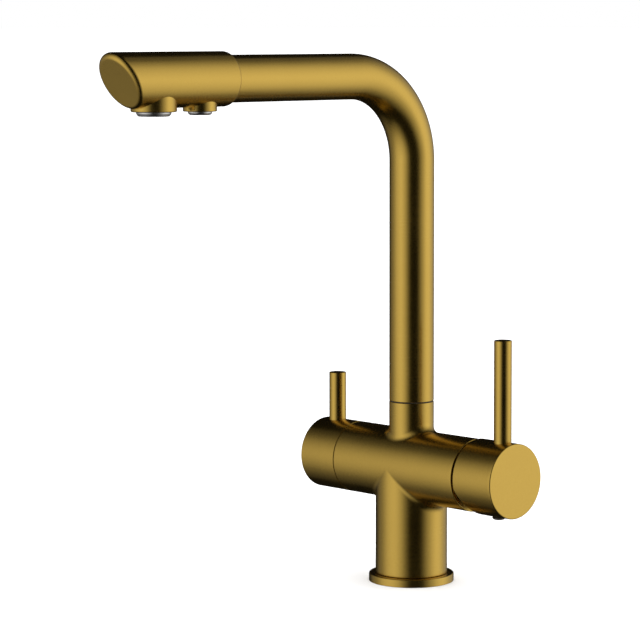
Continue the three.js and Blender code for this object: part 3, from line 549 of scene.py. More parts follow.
def make_column_and_tube():
    """Column that flows into the cross tube as one skin: every line up the column bends through the
    fillet into a line along the underside of the tube, because both have one radius."""
    foot = FLANGE_HEIGHT + SEAT
    straight_top = CROSS_HEIGHT - BODY_RADIUS - BODY_FILLET - STUB
    profile = [(SPIGOT_RADIUS, 0, SOFT_EDGE), (SPIGOT_RADIUS, foot), (BODY_RADIUS, foot, THIN_EDGE)]
    body = turned("valve_body", [*profile, (BODY_RADIUS, straight_top)])
    mark_headings(body)
    highest = (straight_top - NEAR) * MM
    open_up(body, lambda face: min(vertex.co.z for vertex in face.verts) > highest)
    extrude_through(body, is_rim, flare_stations(BODY_RADIUS, BODY_FILLET, -1))
    edit_all(body, "VERT")
    bpy.ops.mesh.remove_doubles(threshold=MERGE * MM)
    leave_edit()
    for side, face in ((1, MIXER_FACE), (-1, FILTER_FACE)):
        extend_underside(body, side, face)
    forget_headings(body)
    close_top_half(body)
    return body


def extend_underside(body, side, face):
    """Takes one half of the fillet's rim along the tube to its end face."""
    steps = round(face / RING_PITCH)

    def station(share):
        def place_of(heading):
            start = abs(cos(heading)) * (BODY_RADIUS + BODY_FILLET)
            along = start + (face - start) * share
            drop = abs(cos(heading)) * BODY_RADIUS
            return Vector((side * along, sin(heading) * BODY_RADIUS, CROSS_HEIGHT - drop))

        return place_of

    def on_this_side(edge):
        out = [side * vertex.co.x / MM for vertex in edge.verts]
        return is_rim(edge) and min(out) > -NEAR and max(out) > NEAR

    extrude_through(body, on_this_side, [station((step + 1) / steps) for step in range(steps)])


def close_top_half(body):
    """Spins the line along one side of the tube over its top to the other side, and closes the ends."""
    edit(body, "EDGE")

    def on_the_side(vertex):
        return vertex.co.y > (BODY_RADIUS - NEAR) * MM and abs(vertex.co.z / MM - CROSS_HEIGHT) < NEAR

    choose(body, "edges", lambda edge: is_rim(edge) and all(on_the_side(v) for v in edge.verts))
    bpy.ops.mesh.spin(steps=FINE // 2, angle=pi, center=UP * CROSS_HEIGHT * MM, axis=LEFT)
    bpy.ops.mesh.select_all(action="SELECT")
    bpy.ops.mesh.remove_doubles(threshold=NEAR * MM)
    for face in (MIXER_FACE, -FILTER_FACE):

        def on_the_end(edge):
            return is_rim(edge) and all(abs(v.co.x / MM - face) < NEAR for v in edge.verts)

        choose(body, "edges", on_the_end)
        bpy.ops.mesh.edge_face_add()
    leave_edit()
    clean(body)
    round_rings(body, [(BODY_RADIUS, MIXER_FACE, EDGE)], UP * CROSS_HEIGHT, RIGHT)
    round_rings(body, [(BODY_RADIUS, FILTER_FACE, EDGE)], UP * CROSS_HEIGHT, LEFT)


def make_valve_body(material):
    body = make_column_and_tube()
    combine(body, make_neck(), "UNION")
    mouth = CARTRIDGE_SHOULDER + EDGE
    sockets = [
        (SOCKET_RADIUS, SOCKET_SIDE, SOCKET_SIDE),
        (SOCKET_RADIUS, SOCKET_SIDE, -SOCKET_SIDE),
        (SOCKET_RADIUS, -SOCKET_SIDE, -SOCKET_SIDE),
        (STUD_RADIUS, -SOCKET_SIDE, SOCKET_SIDE),
    ]
    screw_axis = UP * SWIVEL_SCREW_HEIGHT
    cut(
        body,
        drill(CARTRIDGE_RADIUS + SEAT, -CARTRIDGE_DEPTH, OVERRUN, MIXER_SIDE, RIGHT, MIDDLE),
        drill(NUT_RADIUS + SEAT, -mouth, OVERRUN, MIXER_SIDE, RIGHT, MIDDLE),
        drill(QUARTER_RADIUS + SEAT, -QUARTER_DEPTH, OVERRUN, FILTER_SIDE, LEFT),
        drill(NECK_BORE, NECK_FLOOR, NECK_TOP + OVERRUN, steps=MIDDLE),
        drill(FERRULE_RADIUS + SEAT, NECK_FLOOR - FERRULE_DEPTH, NECK_FLOOR + OVERRUN),
        drill(SWIVEL_SCREW_RADIUS + SEAT, NECK_BORE - OVERRUN, NECK_RADIUS + OVERRUN, screw_axis, BACK),
        *[drill(radius, -OVERRUN, SOCKET_DEPTH, Vector((x, y, 0))) for radius, x, y in sockets],
    )
    mark_grain_by(body, length_along_body)
    finish(body, "valve_body", material)


def length_along_body(place):
    """Height on the column and the neck. On the cross tube, its distance along the tube from the
    mitre, where the two sets of grain meet."""
    radius = hypot(place.y, place.z - CROSS_HEIGHT)
    reach = abs(place.x)
    if place.z < CROSS_HEIGHT - reach or radius > BODY_RADIUS + EDGE:
        return place.z
    return CROSS_HEIGHT - reach + radius - BODY_RADIUS


# ---------------- handles


def lever_seat(knob, knob_radius, stud_depth, axis_point):
    counterbore = knob_radius - LEVER_SINK
    cut(
        knob,
        drill(LEVER_RADIUS + SEAT, counterbore, knob_radius + OVERRUN, axis_point, steps=MIDDLE),
        drill(LEVER_STUD_RADIUS + SEAT, stud_depth, counterbore + OVERRUN, axis_point),
    )


def make_lever(node, knob_radius, top, stud_depth, axis_point, material):
    shoulder = knob_radius - LEVER_SINK + SEAT
    lever = turned(node, [
        (LEVER_STUD_RADIUS, stud_depth + SEAT, SOFT_EDGE), (LEVER_STUD_RADIUS, shoulder),
        (LEVER_RADIUS, shoulder, THIN_EDGE), (LEVER_RADIUS, top, EDGE), (LEVER_RADIUS / 2, top),
        (END_RING, top),
    ], axis_point, UP, MIDDLE)
    mark_grain(lever, axis_point, UP)
    finish(lever, node, material)


def make_knob_cup(name, radius, wall, gap, floor, end, width, base, axis):
    """Cup that opens towards the body, with rings along its wall for the holes that are cut in it."""
    inside = [(radius - wall, floor), (radius - wall, gap)]
    outside = with_rings([(radius, gap), (radius, end), (END_RING, end)])
    cup = turned(name, [*inside, *outside], base, axis)
    round_rings(cup, [(radius, gap, EDGE / 2), (radius, end, width)], base, axis)
    return cup


def rim_relief():
    """Wedge that leans the mixer knob's rim away from the body below the axis."""
    reach = MIXER_KNOB_RADIUS + MIXER_HOLLOW
    rise = (reach - RELIEF_START) * tan(radians(RELIEF_ANGLE))
    low = (MIXER_FACE - OVERRUN, -2 * MIXER_KNOB_RADIUS, CROSS_HEIGHT - reach)
    high = (MIXER_FACE + MIXER_GAP, 2 * MIXER_KNOB_RADIUS, CROSS_HEIGHT - RELIEF_START)
    wedge = block("rim_relief", low, high)
    middle = CROSS_HEIGHT * MM - reach * MM / 2
    edit(wedge, "VERT")
    choose(wedge, "verts", lambda vertex: vertex.co.x > MIXER_FACE * MM and vertex.co.z < middle)
    bpy.ops.transform.translate(value=RIGHT * rise * MM)
    leave_edit()
    return wedge


def make_mixer_knob(material):
    floor = MIXER_GAP + MIXER_HOLLOW
    end = MIXER_GAP + MIXER_KNOB_LENGTH
    sizes = (MIXER_KNOB_RADIUS, MIXER_KNOB_WALL, MIXER_SEAM, floor, end, MIXER_KNOB_EDGE)
    knob = make_knob_cup("mixer_knob", *sizes, MIXER_SIDE, RIGHT)
    half = STEM_WIDTH / 2 + SEAT
    start = MIXER_FACE + floor
    socket_low = (start - OVERRUN, -half, CROSS_HEIGHT - half)
    socket_high = (start + STEM_GRIP + SEAT, half, CROSS_HEIGHT + half)
    cut(
        knob,
        rim_relief(),
        block("stem_socket", socket_low, socket_high),
        drill(GRUB_RADIUS + SEAT, 0, MIXER_KNOB_RADIUS + OVERRUN, PLUG_AXIS, DOWN),
    )
    lever_seat(knob, MIXER_KNOB_RADIUS, MIXER_STUD_DEPTH, MIXER_LEVER_AXIS)
    mark_grain(knob, MIXER_SIDE, RIGHT)
    finish(knob, "mixer_knob", material)


def make_filter_knob(material):
    floor = FILTER_GAP + FILTER_HOLLOW
    end = FILTER_GAP + FILTER_KNOB_LENGTH
    sizes = (BODY_RADIUS, FILTER_KNOB_WALL, FILTER_GAP, floor, end, EDGE)
    knob = make_knob_cup("filter_knob", *sizes, FILTER_SIDE, LEFT)
    cut(
        knob,
        drill(SPINDLE_RADIUS + SEAT, floor - OVERRUN, SPINDLE_END + SEAT, FILTER_SIDE, LEFT),
        drill(GRUB_RADIUS + SEAT, 0, BODY_RADIUS + OVERRUN, FILTER_LEVER_AXIS, DOWN),
    )
    lever_seat(knob, BODY_RADIUS, FILTER_STUD_DEPTH, FILTER_LEVER_AXIS)
    mark_grain(knob, FILTER_SIDE, LEFT)
    finish(knob, "filter_knob", material)


def make_set_screw(node, radius, low, high, base, axis, material):
    """Headless screw with a hexagonal socket in its outer end."""
    screw = turned(node, [(radius, low, EDGE), (radius, high, THIN_EDGE)], base, axis, COARSE)
    cut(screw, drill(HEX_KEY_RADIUS, high - HEX_KEY_DEPTH, high + OVERRUN, base, axis, HEXAGON))
    finish(screw, node, material)


def make_index_plug(material):
    base = MIXER_KNOB_RADIUS + SEAT
    plug = turned("mixer_index_plug", [
        (GRUB_RADIUS, base - PLUG_SHANK, SOFT_EDGE), (GRUB_RADIUS, base), (PLUG_RADIUS, base, PLUG_EDGE),
        (PLUG_RADIUS, base + PLUG_SIDE, SOFT_EDGE),
        (PLUG_DOME_RADIUS, base + PLUG_DOME_HEIGHT, PLUG_DOME_EDGE),
        (PLUG_TOP_RADIUS, base + PLUG_HEIGHT),
    ], PLUG_AXIS, DOWN, MIDDLE)
    finish(plug, "mixer_index_plug", material, DOME_ANGLE)


def make_cover_ring(material):
    inner = NUT_GRIP_RADIUS + SEAT
    top = SEAT + COVER_RING_HEIGHT
    profile = section(inner, COVER_RING_RADIUS, SEAT, top, THIN_EDGE, SOFT_EDGE)
    ring = turned_ring("cartridge_cover_ring", profile, MIXER_SIDE, RIGHT)
    finish(ring, "cartridge_cover_ring", material)


# ---------------- spout


def make_bearing_ring(material):
    top = BEARING_LOW + BEARING_THICKNESS
    profile = section(NECK_BORE, NECK_RADIUS - SEAT, BEARING_LOW, top, THIN_EDGE, THIN_EDGE)
    ring = turned_ring("neck_bearing_ring", profile)
    finish(ring, "neck_bearing_ring", material)


def length_along_spout(place):
    """Distance of a place on the spout tube from its foot, along the tube's middle line."""
    start = ARM_HEIGHT - BEND_RADIUS
    if place.z < start:
        return place.z
    if place.y < -BEND_RADIUS:
        return start + BEND_RADIUS * pi / 2 - place.y - BEND_RADIUS
    return start + BEND_RADIUS * atan2(place.z - start, place.y + BEND_RADIUS)


def make_spout_tube(material):
    """Tube wall drawn up the riser, spun round the bend and drawn out along the arm."""
    tube = circle("spout_tube", RISER_RADIUS, RISER_FOOT, ORIGIN, UP, FINE, "NOTHING")
    bend_start = ARM_HEIGHT - BEND_RADIUS
    arm_end = HEAD_START + HEAD_LAP - SEAT
    edit_all(tube, "EDGE")
    wall = [(RISER_RADIUS, RISER_FOOT), (RISER_RADIUS - RISER_WALL, RISER_FOOT)]
    extrude_rings(wall, ORIGIN, UP)
    bpy.ops.mesh.select_mode(type="FACE")
    bpy.ops.mesh.select_all(action="SELECT")
    straight = with_rings([(RISER_RADIUS, RISER_FOOT), (RISER_RADIUS, bend_start)], TUBE_PITCH)
    extrude_rings(straight, ORIGIN, UP)
    centre = Vector((0, -BEND_RADIUS, bend_start)) * MM
    bpy.ops.mesh.spin(steps=BEND_STEPS, angle=pi / 2, center=centre, axis=LEFT)
    out = with_rings([(RISER_RADIUS, BEND_RADIUS), (RISER_RADIUS, arm_end)], TUBE_PITCH)
    extrude_rings(out, ORIGIN, ALONG_ARM)
    leave_edit()
    clean(tube)
    round_rings(tube, [(RISER_RADIUS, RISER_FOOT, SWIVEL_EDGE)], ORIGIN, UP)
    mark_grain_by(tube, length_along_spout)
    finish(tube, "spout_tube", material)


def boss(radius, place, top, drop, steps=FINE):
    """Upright cylinder at a distance along the arm, between two depths below its axis."""
    return turned("boss", [(radius, top), (radius, drop)], ARM + ALONG_ARM * place, DOWN, steps)


def end_edge(heading):
    """How far the head's rounded end reaches back along the sleeve and in across the face, and the
    weight of its curve. It has one radius all the way round, so it reaches further at the top, where
    the cut leaves a sharp edge."""
    lean = radians(HEAD_CUT)
    opening = acos(sin(heading) * sin(lean))
    reach = HEAD_ROUND / tan(opening / 2)
    return reach, reach * hypot(cos(heading), sin(heading) * cos(lean)), sin(opening / 2)


def end_place(heading, radius, back):
    """A place at a distance from the arm's axis and behind the slanting face."""
    rise = radius * sin(heading)
    along = HEAD_TIP - back + rise * tan(radians(HEAD_CUT))
    return ARM + ALONG_ARM * along + RIGHT * radius * cos(heading) + UP * rise


def on_end_edge(heading, share):
    """A place on the rounded end, from the sleeve at share 0 to the face at share 1."""
    reach, inwards, weight = end_edge(heading)
    whole = (1 - share) ** 2 + 2 * weight * share * (1 - share) + share**2
    return end_place(heading, HEAD_RADIUS - inwards * share**2 / whole, reach * (1 - share) ** 2 / whole)


def seam_share(heading, radius):
    """Share of the rounded end that lies outside a distance from the arm's axis."""
    inwards, weight = end_edge(heading)[1:]
    outside = HEAD_RADIUS - radius
    slope = 2 * outside * (1 - weight)
    return (sqrt(slope**2 + 4 * (inwards - slope) * outside) - slope) / (2 * (inwards - slope))


def sleeve_end_stations():
    """Along the sleeve to its rounded end, over it to the seam, and down the wall of the recess."""
    seam = CAP_RADIUS + HAIRLINE

    def on_edge(part):
        return lambda heading: on_end_edge(heading, part * seam_share(heading, seam))

    edge = [on_edge(step / END_EDGE_STEPS) for step in range(END_EDGE_STEPS + 1)]
    return [*edge, lambda heading: end_place(heading, seam, CAP_SEAT)]


def cap_stations():
    """From the seam over the cap's share of the rounded end, and in across its face."""

    def on_edge(part):
        def place_of(heading):
            seam = seam_share(heading, CAP_RADIUS)
            return on_end_edge(heading, seam + (1 - seam) * part)

        return place_of

    def on_face(share):
        return lambda heading: end_place(heading, (HEAD_RADIUS - end_edge(heading)[1]) * share, 0)

    edge = [on_edge(step / END_EDGE_STEPS) for step in range(END_EDGE_STEPS + 1)]
    face = [on_face(1 - step / CAP_FACE_RINGS) for step in range(1, CAP_FACE_RINGS)]
    return edge + face


def open_front(piece, along):
    """Takes away the disc that closes a turned piece at a distance along the arm."""
    front = -(along - NEAR) * MM
    open_up(piece, lambda face: len(face.verts) == FINE and face.verts[0].co.y < front)


def make_spout_head(material):
    lap_end = HEAD_START + HEAD_LAP
    beyond = HEAD_TIP + 2 * HEAD_RADIUS
    lip = RISER_RADIUS + HAIRLINE + HEAD_LIP
    sleeve_end = HEAD_TIP - HEAD_RADIUS
    head = turned("spout_head", [
        (lip, HEAD_START), (HEAD_RADIUS, HEAD_START, HEAD_SHOULDER), (HEAD_RADIUS, sleeve_end),
    ], ARM, ALONG_ARM)
    mark_headings(head, ARM, UP)
    open_front(head, sleeve_end)
    extrude_through(head, is_rim, sleeve_end_stations())
    close_end(head)
    forget_headings(head)
    clean(head)
    outlets = [
        (MIXED_BOSS_RADIUS, MIXED_OUTLET, 0, MIXED_BOSS_DROP, MIXED_BOSS_EDGE),
        (FILTER_BOSS_RADIUS, FILTER_OUTLET, FILTER_BOSS_TOP, FILTER_BOSS_DROP, FILTER_BOSS_EDGE),
    ]
    for radius, place, top, drop, width in outlets:
        post = boss(radius, place, top, drop)
        round_rings(post, [(radius, drop, width)], ARM + ALONG_ARM * place, DOWN)
        combine(head, post, "UNION")
    cavity = drill(HEAD_BORE, lap_end, beyond, ARM, ALONG_ARM, MIDDLE)
    cut(cavity, boss(FILTER_BOSS_RADIUS, FILTER_OUTLET, FILTER_BOSS_TOP, HEAD_BORE + OVERRUN))
    cut(
        head,
        cavity,
        drill(RISER_RADIUS + HAIRLINE, HEAD_START - OVERRUN, lap_end, ARM, ALONG_ARM, FINE),
        boss(MIXED_BOSS_RADIUS - BOSS_WALL, MIXED_OUTLET, MIXED_WELL_TOP, MIXED_BOSS_DROP + OVERRUN),
        boss(FILTER_BOSS_RADIUS - BOSS_WALL, FILTER_OUTLET, FILTER_WELL_TOP, FILTER_BOSS_DROP + OVERRUN),
        boss(ELBOW_RADIUS + SEAT, FILTER_OUTLET, 0, FILTER_BOSS_DROP - ELBOW_LAND, COARSE),
    )
    mark_grain(head, ARM, ALONG_ARM)
    finish(head, "spout_head", material)


def make_head_cap(material):
    """End cap: its spigot turned straight and leaned out along the arm at its top, then its share of
    the rounded end and the slanting face drawn on from there."""
    spigot = HEAD_BORE - SEAT
    seat = SEAT - CAP_SEAT
    tip = ARM + ALONG_ARM * HEAD_TIP
    profile = [(spigot, -CAP_SPIGOT), (spigot, seat), (CAP_RADIUS, seat)]
    cap = turned("head_end_cap", profile, tip, ALONG_ARM)
    mark_headings(cap, ARM, UP)
    open_front(cap, HEAD_TIP + seat)
    edit(cap, "VERT")
    mesh = bmesh.from_edit_mesh(cap.data)
    for vertex in mesh.verts:
        vertex.co += ALONG_ARM * (vertex.co.z - ARM_HEIGHT * MM) * tan(radians(HEAD_CUT))
    leave_edit()
    extrude_through(cap, is_rim, cap_stations())
    close_end(cap)
    forget_headings(cap)
    mark_grain(cap, ARM, ALONG_ARM)
    finish(cap, "head_end_cap", material)


def make_aerator(prefix, place, boss_radius, lip, boss_drop, drop, shell_metal, insert_plastic):
    base = ARM + ALONG_ARM * place
    barrel = boss_radius - BOSS_WALL - SEAT
    barrel_top = boss_drop - OUTLET_THREAD
    inner = lip - AERATOR_WALL
    ledge = inner - LEDGE_WIDTH
    ledge_top = drop - LEDGE_HEIGHT
    shell = turned_ring(f"{prefix}_shell", [
        (ledge, drop, LEDGE_EDGE), (lip - AERATOR_TAPER, drop, OUTLET_LIP_EDGE),
        (lip, boss_drop + AERATOR_RIM, THIN_EDGE), (lip, boss_drop), (barrel, boss_drop),
        (barrel, barrel_top, THIN_EDGE), (inner, barrel_top, THIN_EDGE), (inner, ledge_top),
        (ledge, ledge_top),
    ], base, DOWN, MIDDLE)
    finish(shell, f"{prefix}_shell", shell_metal)
    radius = inner - SEAT
    bottom = ledge_top - SEAT
    top = bottom - MESH_HEIGHT
    insert = turned(f"{prefix}_insert", [(radius, top), (radius, bottom)], base, DOWN, MIDDLE)
    cut(insert, honeycomb(radius, top - OVERRUN, bottom + OVERRUN, base))
    finish(insert, f"{prefix}_insert", insert_plastic)


def honeycomb(radius, top, bottom, base):
    """One six-sided cell and its copies on a triangular grid, as one cutter."""
    cells = drill(MESH_HOLE, top, bottom, base, DOWN, HEXAGON)
    row_pitch = MESH_PITCH * sqrt(3) / 2
    rows = int(radius / MESH_PITCH) + 2
    middle = base * MM

    def in_first_cell(vertex):
        return hypot(vertex.co.x - middle.x, vertex.co.y - middle.y) < (MESH_HOLE + NEAR) * MM

    edit(cells, "VERT")
    for row in range(-rows, rows + 1):
        for column in range(-rows, rows + 1):
            across = (column + row % 2 / 2) * MESH_PITCH
            offset = Vector((across, row * row_pitch, 0))
            if offset.length < NEAR or offset.length + MESH_HOLE > radius - EDGE:
                continue
            choose(cells, "verts", in_first_cell)
            bpy.ops.mesh.duplicate_move(TRANSFORM_OT_translate={"value": offset * MM})
    leave_edit()
    return cells


# ---------------- grain


def mark_grain_by(piece, along):
    """Keeps on every vertex how far along the turning it lies, for the grain of the brushing."""
    grain = piece.data.attributes.new("grain", "FLOAT", "POINT")
    places = [along(vertex.co / MM) * MM for vertex in piece.data.vertices]
    grain.data.foreach_set("value", places)


def mark_grain(piece, base, axis):
    """Grain that runs round an axis: along it on the walls, and out from it on the end faces."""

    def along(place):
        radius, height = radius_and_height(place * MM, base, axis)
        return radius + height

    mark_grain_by(piece, along)


# ---------------- materials

LINE_PITCH = 0.0003       # metres between the lines of the brushing
LINE_DEPTH = 0.08         # strength of their relief
LINE_RELIEF = 0.00002     # metres
LINE_BREAKS = 45          # scale of the noise that breaks the lines up
CLOUD_SCALE = 38
GRAIN_SWING = 0.12        # of tone and roughness
MOTTLE_SCALE = 900
MOTTLE_DEPTH = 0.05
MOTTLE_RELIEF = 0.00005   # metres
GLOSS_SWING = 0.08


def add_node(tree, kind, **settings):
    node = tree.nodes.new(kind)
    for name, value in settings.items():
        setattr(node, name, value)
    return node


def feed(tree, socket, value):
    """Links an input to a socket, or sets it to a number."""
    if isinstance(value, bpy.types.NodeSocket):
        tree.links.new(value, socket)
    else:
        socket.default_value = value


def math_node(tree, operation, *values):
    node = add_node(tree, "ShaderNodeMath", operation=operation)
    for socket, value in zip(node.inputs, values):
        feed(tree, socket, value)
    return node.outputs[0]


def add_noise(tree, scale, detail, **settings):
    """Noise over the object's own coordinates."""
    noise = add_node(tree, "ShaderNodeTexNoise", **settings)
    noise.inputs["Scale"].default_value = scale
    noise.inputs["Detail"].default_value = detail
    place = add_node(tree, "ShaderNodeTexCoord").outputs["Object"]
    tree.links.new(place, noise.inputs["Vector"])
    return noise


def add_bump(tree, height, strength, distance):
    bump = add_node(tree, "ShaderNodeBump")
    bump.inputs["Distance"].default_value = distance
    feed(tree, bump.inputs["Strength"], strength)
    tree.links.new(height, bump.inputs["Height"])
    return bump.outputs["Normal"]


def make_grain_group():
    """Fine lines of a turned brushing, and broad cloudiness of the satin coat."""
    group = bpy.data.node_groups.new("turned_brushing", "ShaderNodeTree")
    number, colour, vector = (f"NodeSocket{kind}" for kind in ("Float", "Color", "Vector"))
    inputs = dict.fromkeys(("Along", "Line Pitch", "Roughness", "Depth"), number) | {"Colour": colour}
    outputs = {"Colour": colour, "Roughness": number, "Normal": vector}
    for direction, sockets in (("INPUT", inputs), ("OUTPUT", outputs)):
        for socket, kind in sockets.items():
            group.interface.new_socket(name=socket, in_out=direction, socket_type=kind)
    given = group.nodes.new("NodeGroupInput").outputs
    result = group.nodes.new("NodeGroupOutput").inputs
    links = group.links
    lines = add_noise(group, LINE_BREAKS, detail=2, noise_dimensions="4D")
    links.new(math_node(group, "DIVIDE", given["Along"], given["Line Pitch"]), lines.inputs["W"])
    clouds = add_noise(group, CLOUD_SCALE, detail=4)
    both = math_node(group, "ADD", lines.outputs["Fac"], clouds.outputs["Fac"])
    centred = math_node(group, "SUBTRACT", both, 1)
    rough = math_node(group, "MULTIPLY_ADD", centred, GRAIN_SWING, given["Roughness"])
    links.new(rough, result["Roughness"])
    shade = add_node(group, "ShaderNodeVectorMath", operation="SCALE")
    links.new(given["Colour"], shade.inputs[0])
    links.new(math_node(group, "MULTIPLY_ADD", centred, GRAIN_SWING, 1), shade.inputs["Scale"])
    links.new(shade.outputs[0], result["Colour"])
    links.new(add_bump(group, lines.outputs["Fac"], given["Depth"], LINE_RELIEF), result["Normal"])
    return group


def new_material(name):
    material = bpy.data.materials.new(name)
    material.use_nodes = True
    tree = material.node_tree
    return material, tree, tree.nodes["Principled BSDF"]


def brushed(name, colour, roughness, pitch=LINE_PITCH, depth=LINE_DEPTH):
    """Turned and brushed metal, with its lines across the grain attribute where a piece has one."""
    material, tree, shader = new_material(name)
    shader.inputs["Metallic"].default_value = 1
    grain = add_node(tree, "ShaderNodeGroup", node_tree=BRUSHING)
    grain.inputs["Line Pitch"].default_value = pitch
    grain.inputs["Roughness"].default_value = roughness
    grain.inputs["Colour"].default_value = (*colour, 1)
    grain.inputs["Depth"].default_value = depth
    along = add_node(tree, "ShaderNodeAttribute", attribute_name="grain")
    tree.links.new(along.outputs["Fac"], grain.inputs["Along"])
    tree.links.new(grain.outputs["Colour"], shader.inputs["Base Color"])
    tree.links.new(grain.outputs["Roughness"], shader.inputs["Roughness"])
    tree.links.new(grain.outputs["Normal"], shader.inputs["Normal"])
    return material


def moulded(name, colour, roughness, speckle=0.04):
    """Moulded plastic, rubber or ceramic: faint mottling of tone and gloss."""
    material, tree, shader = new_material(name)
    mottle = add_noise(tree, MOTTLE_SCALE, detail=3).outputs["Fac"]
    gloss = add_node(tree, "ShaderNodeMapRange")
    gloss.inputs["To Min"].default_value = roughness - GLOSS_SWING
    gloss.inputs["To Max"].default_value = roughness + GLOSS_SWING
    tree.links.new(mottle, gloss.inputs["Value"])
    tree.links.new(gloss.outputs["Result"], shader.inputs["Roughness"])
    tones = add_node(tree, "ShaderNodeMix", data_type="RGBA")
    for socket, share in (("A", 1 - speckle), ("B", 1 + speckle)):
        tones.inputs[socket].default_value = (*[min(1, part * share) for part in colour], 1)
    tree.links.new(mottle, tones.inputs["Factor"])
    tree.links.new(tones.outputs["Result"], shader.inputs["Base Color"])
    tree.links.new(add_bump(tree, mottle, MOTTLE_DEPTH, MOTTLE_RELIEF), shader.inputs["Normal"])
    return material


GOLD = (0.60, 0.395, 0.083)
BRUSHING = make_grain_group()
FINISHES = [
    # slot, kind, colour, roughness, then the lines' pitch and depth or the strength of the mottling
    ("brushed_gold", brushed, GOLD, 0.26),
    ("brushed_gold_cap", brushed, GOLD, 0.30),
    ("raw_brass", brushed, (0.66, 0.47, 0.20), 0.32, 0.0005, 0.15),
    ("steel", brushed, (0.52, 0.51, 0.49), 0.28, 0.0004, 0.1),
    ("aerator_silver", brushed, (0.60, 0.59, 0.57), 0.3, LINE_PITCH, 0.1),
    ("ceramic", moulded, (0.80, 0.78, 0.72), 0.2, 0.02),
    ("white_plastic", moulded, (0.72, 0.72, 0.69), 0.42),
    ("aerator_mesh", moulded, (0.55, 0.56, 0.57), 0.4),
    ("dark_plastic", moulded, (0.030, 0.022, 0.013), 0.38, 0.15),
    ("rubber_black", moulded, (0.02, 0.02, 0.02), 0.6, 0.2),
    ("tube_plastic", moulded, (0.72, 0.76, 0.80), 0.35, 0.03),
]
MATERIALS = {slot: make(slot, *values) for slot, make, *values in FINISHES}


def dress_cad_nodes():
    """Gives every CAD node the finish of its slot."""
    for node, piece in frame["nodes"].items():
        for place in piece.material_slots:
            place.material = MATERIALS[SLOT_OF[node]]


# ---------------- camera, light and floor

CAMERA_HEADING = radians(45.947)
CAMERA_PITCH = radians(4.303)
CAMERA_OFFSET = Vector((31.578, 220.273, 1715.517))   # mm of the origin to the right, down and ahead
PHOTO_SIZE = 640
FOCAL_LENGTH = 2720.82            # pixels of the photograph
OPTICAL_AXIS = (361.201, 230.0)   # pixel that the camera looks at
SENSOR = 36.0


def add_object(name, data):
    thing = bpy.data.objects.new(name, data)
    bpy.context.scene.collection.objects.link(thing)
    return thing


def camera_directions():
    heading, pitch = CAMERA_HEADING, CAMERA_PITCH
    right = Vector((cos(heading), sin(heading), 0))
    ahead = Vector((-sin(heading) * cos(pitch), cos(heading) * cos(pitch), -sin(pitch)))
    return right, ahead, ahead.cross(right)


def add_camera():
    right, ahead, down = camera_directions()
    lens = bpy.data.cameras.new("camera")
    lens.sensor_width = SENSOR
    lens.lens = FOCAL_LENGTH / PHOTO_SIZE * SENSOR
    lens.shift_x = 0.5 - OPTICAL_AXIS[0] / PHOTO_SIZE
    lens.shift_y = OPTICAL_AXIS[1] / PHOTO_SIZE - 0.5
    camera = add_object("camera", lens)
    place = -(right * CAMERA_OFFSET.x + down * CAMERA_OFFSET.y + ahead * CAMERA_OFFSET.z) * MM
    turn = Matrix((right, -down, -ahead)).transposed().to_4x4()
    camera.matrix_world = Matrix.Translation(place) @ turn
    bpy.context.scene.camera = camera


LIGHT_DISTANCE = 2.5
FEATHER = (0.3, 0.6, 0.9, 1.1, 1.3, 1.6)    # sizes of the nested lamps that fade a softbox out
LAMP_STEP = 0.05                            # metres that each stands behind the one before
SIDE_LIGHTS = [
    # name, degrees right of the camera and up, half width and half height in degrees, strength
    ("left_softbox", -58.5, 0, 29, 40, 0.99),
    ("left_fill", -107, -4, 25, 34, 0.32),
    ("right_softbox", 76, 4, 27, 46, 0.79),
    ("right_fill", 115, 2, 31.3, 40, 0.70),
]
SUN_STRENGTH = 5.0
SUN_SPREAD = 120          # degrees
ROOM_STRENGTH = 0.006     # of the dark room that the metal mirrors
BACKDROP_STRENGTH = 1.0   # of the white that the camera sees
FLOOR_SIZE = 400          # metres
FLOOR_TONE = 0.9
FLOOR_ROUGHNESS = 0.9
FLOOR_SHINE = 0.1


def add_lamp(name, place, direction, width, height, strength):
    """Oval lamp of one brightness at any size."""
    lamp = bpy.data.lights.new(name, "AREA")
    lamp.shape = "ELLIPSE"
    lamp.size = width
    lamp.size_y = height
    lamp.energy = strength * pi * (pi / 4 * width * height)
    softbox = add_object(name, lamp)
    softbox.location = place
    softbox.rotation_euler = direction.to_track_quat("Z", "Y").to_euler()
    softbox.visible_camera = False


def add_softbox(name, bearing, height, half_width, half_height, strength):
    """Softbox that is brightest in the middle and fades out to its edge."""
    right = camera_directions()[0]
    towards_camera = Vector((right.y, -right.x, 0))
    bearing, height = radians(bearing), radians(height)
    level = towards_camera * cos(bearing) + right * sin(bearing)
    direction = level * cos(height) + UP * sin(height)
    for number, share in enumerate(FEATHER):
        distance = LIGHT_DISTANCE + number * LAMP_STEP
        wide = 2 * distance * tan(radians(half_width * share))
        tall = 2 * distance * tan(radians(half_height * share))
        place = Vector((0, 0, ARM_HEIGHT / 2 * MM)) + direction * distance
        add_lamp(f"{name}_{number}", place, direction, wide, tall, strength / len(FEATHER))


def add_sun():
    """Soft light from above for the floor, which the polished metal doesn't mirror."""
    lamp = bpy.data.lights.new("overhead", "SUN")
    lamp.energy = SUN_STRENGTH
    lamp.angle = radians(SUN_SPREAD)
    add_object("overhead", lamp).visible_glossy = False


def add_background(tree, strength):
    background = add_node(tree, "ShaderNodeBackground")
    background.inputs["Color"].default_value = (1, 1, 1, 1)
    background.inputs["Strength"].default_value = strength
    return background.outputs[0]


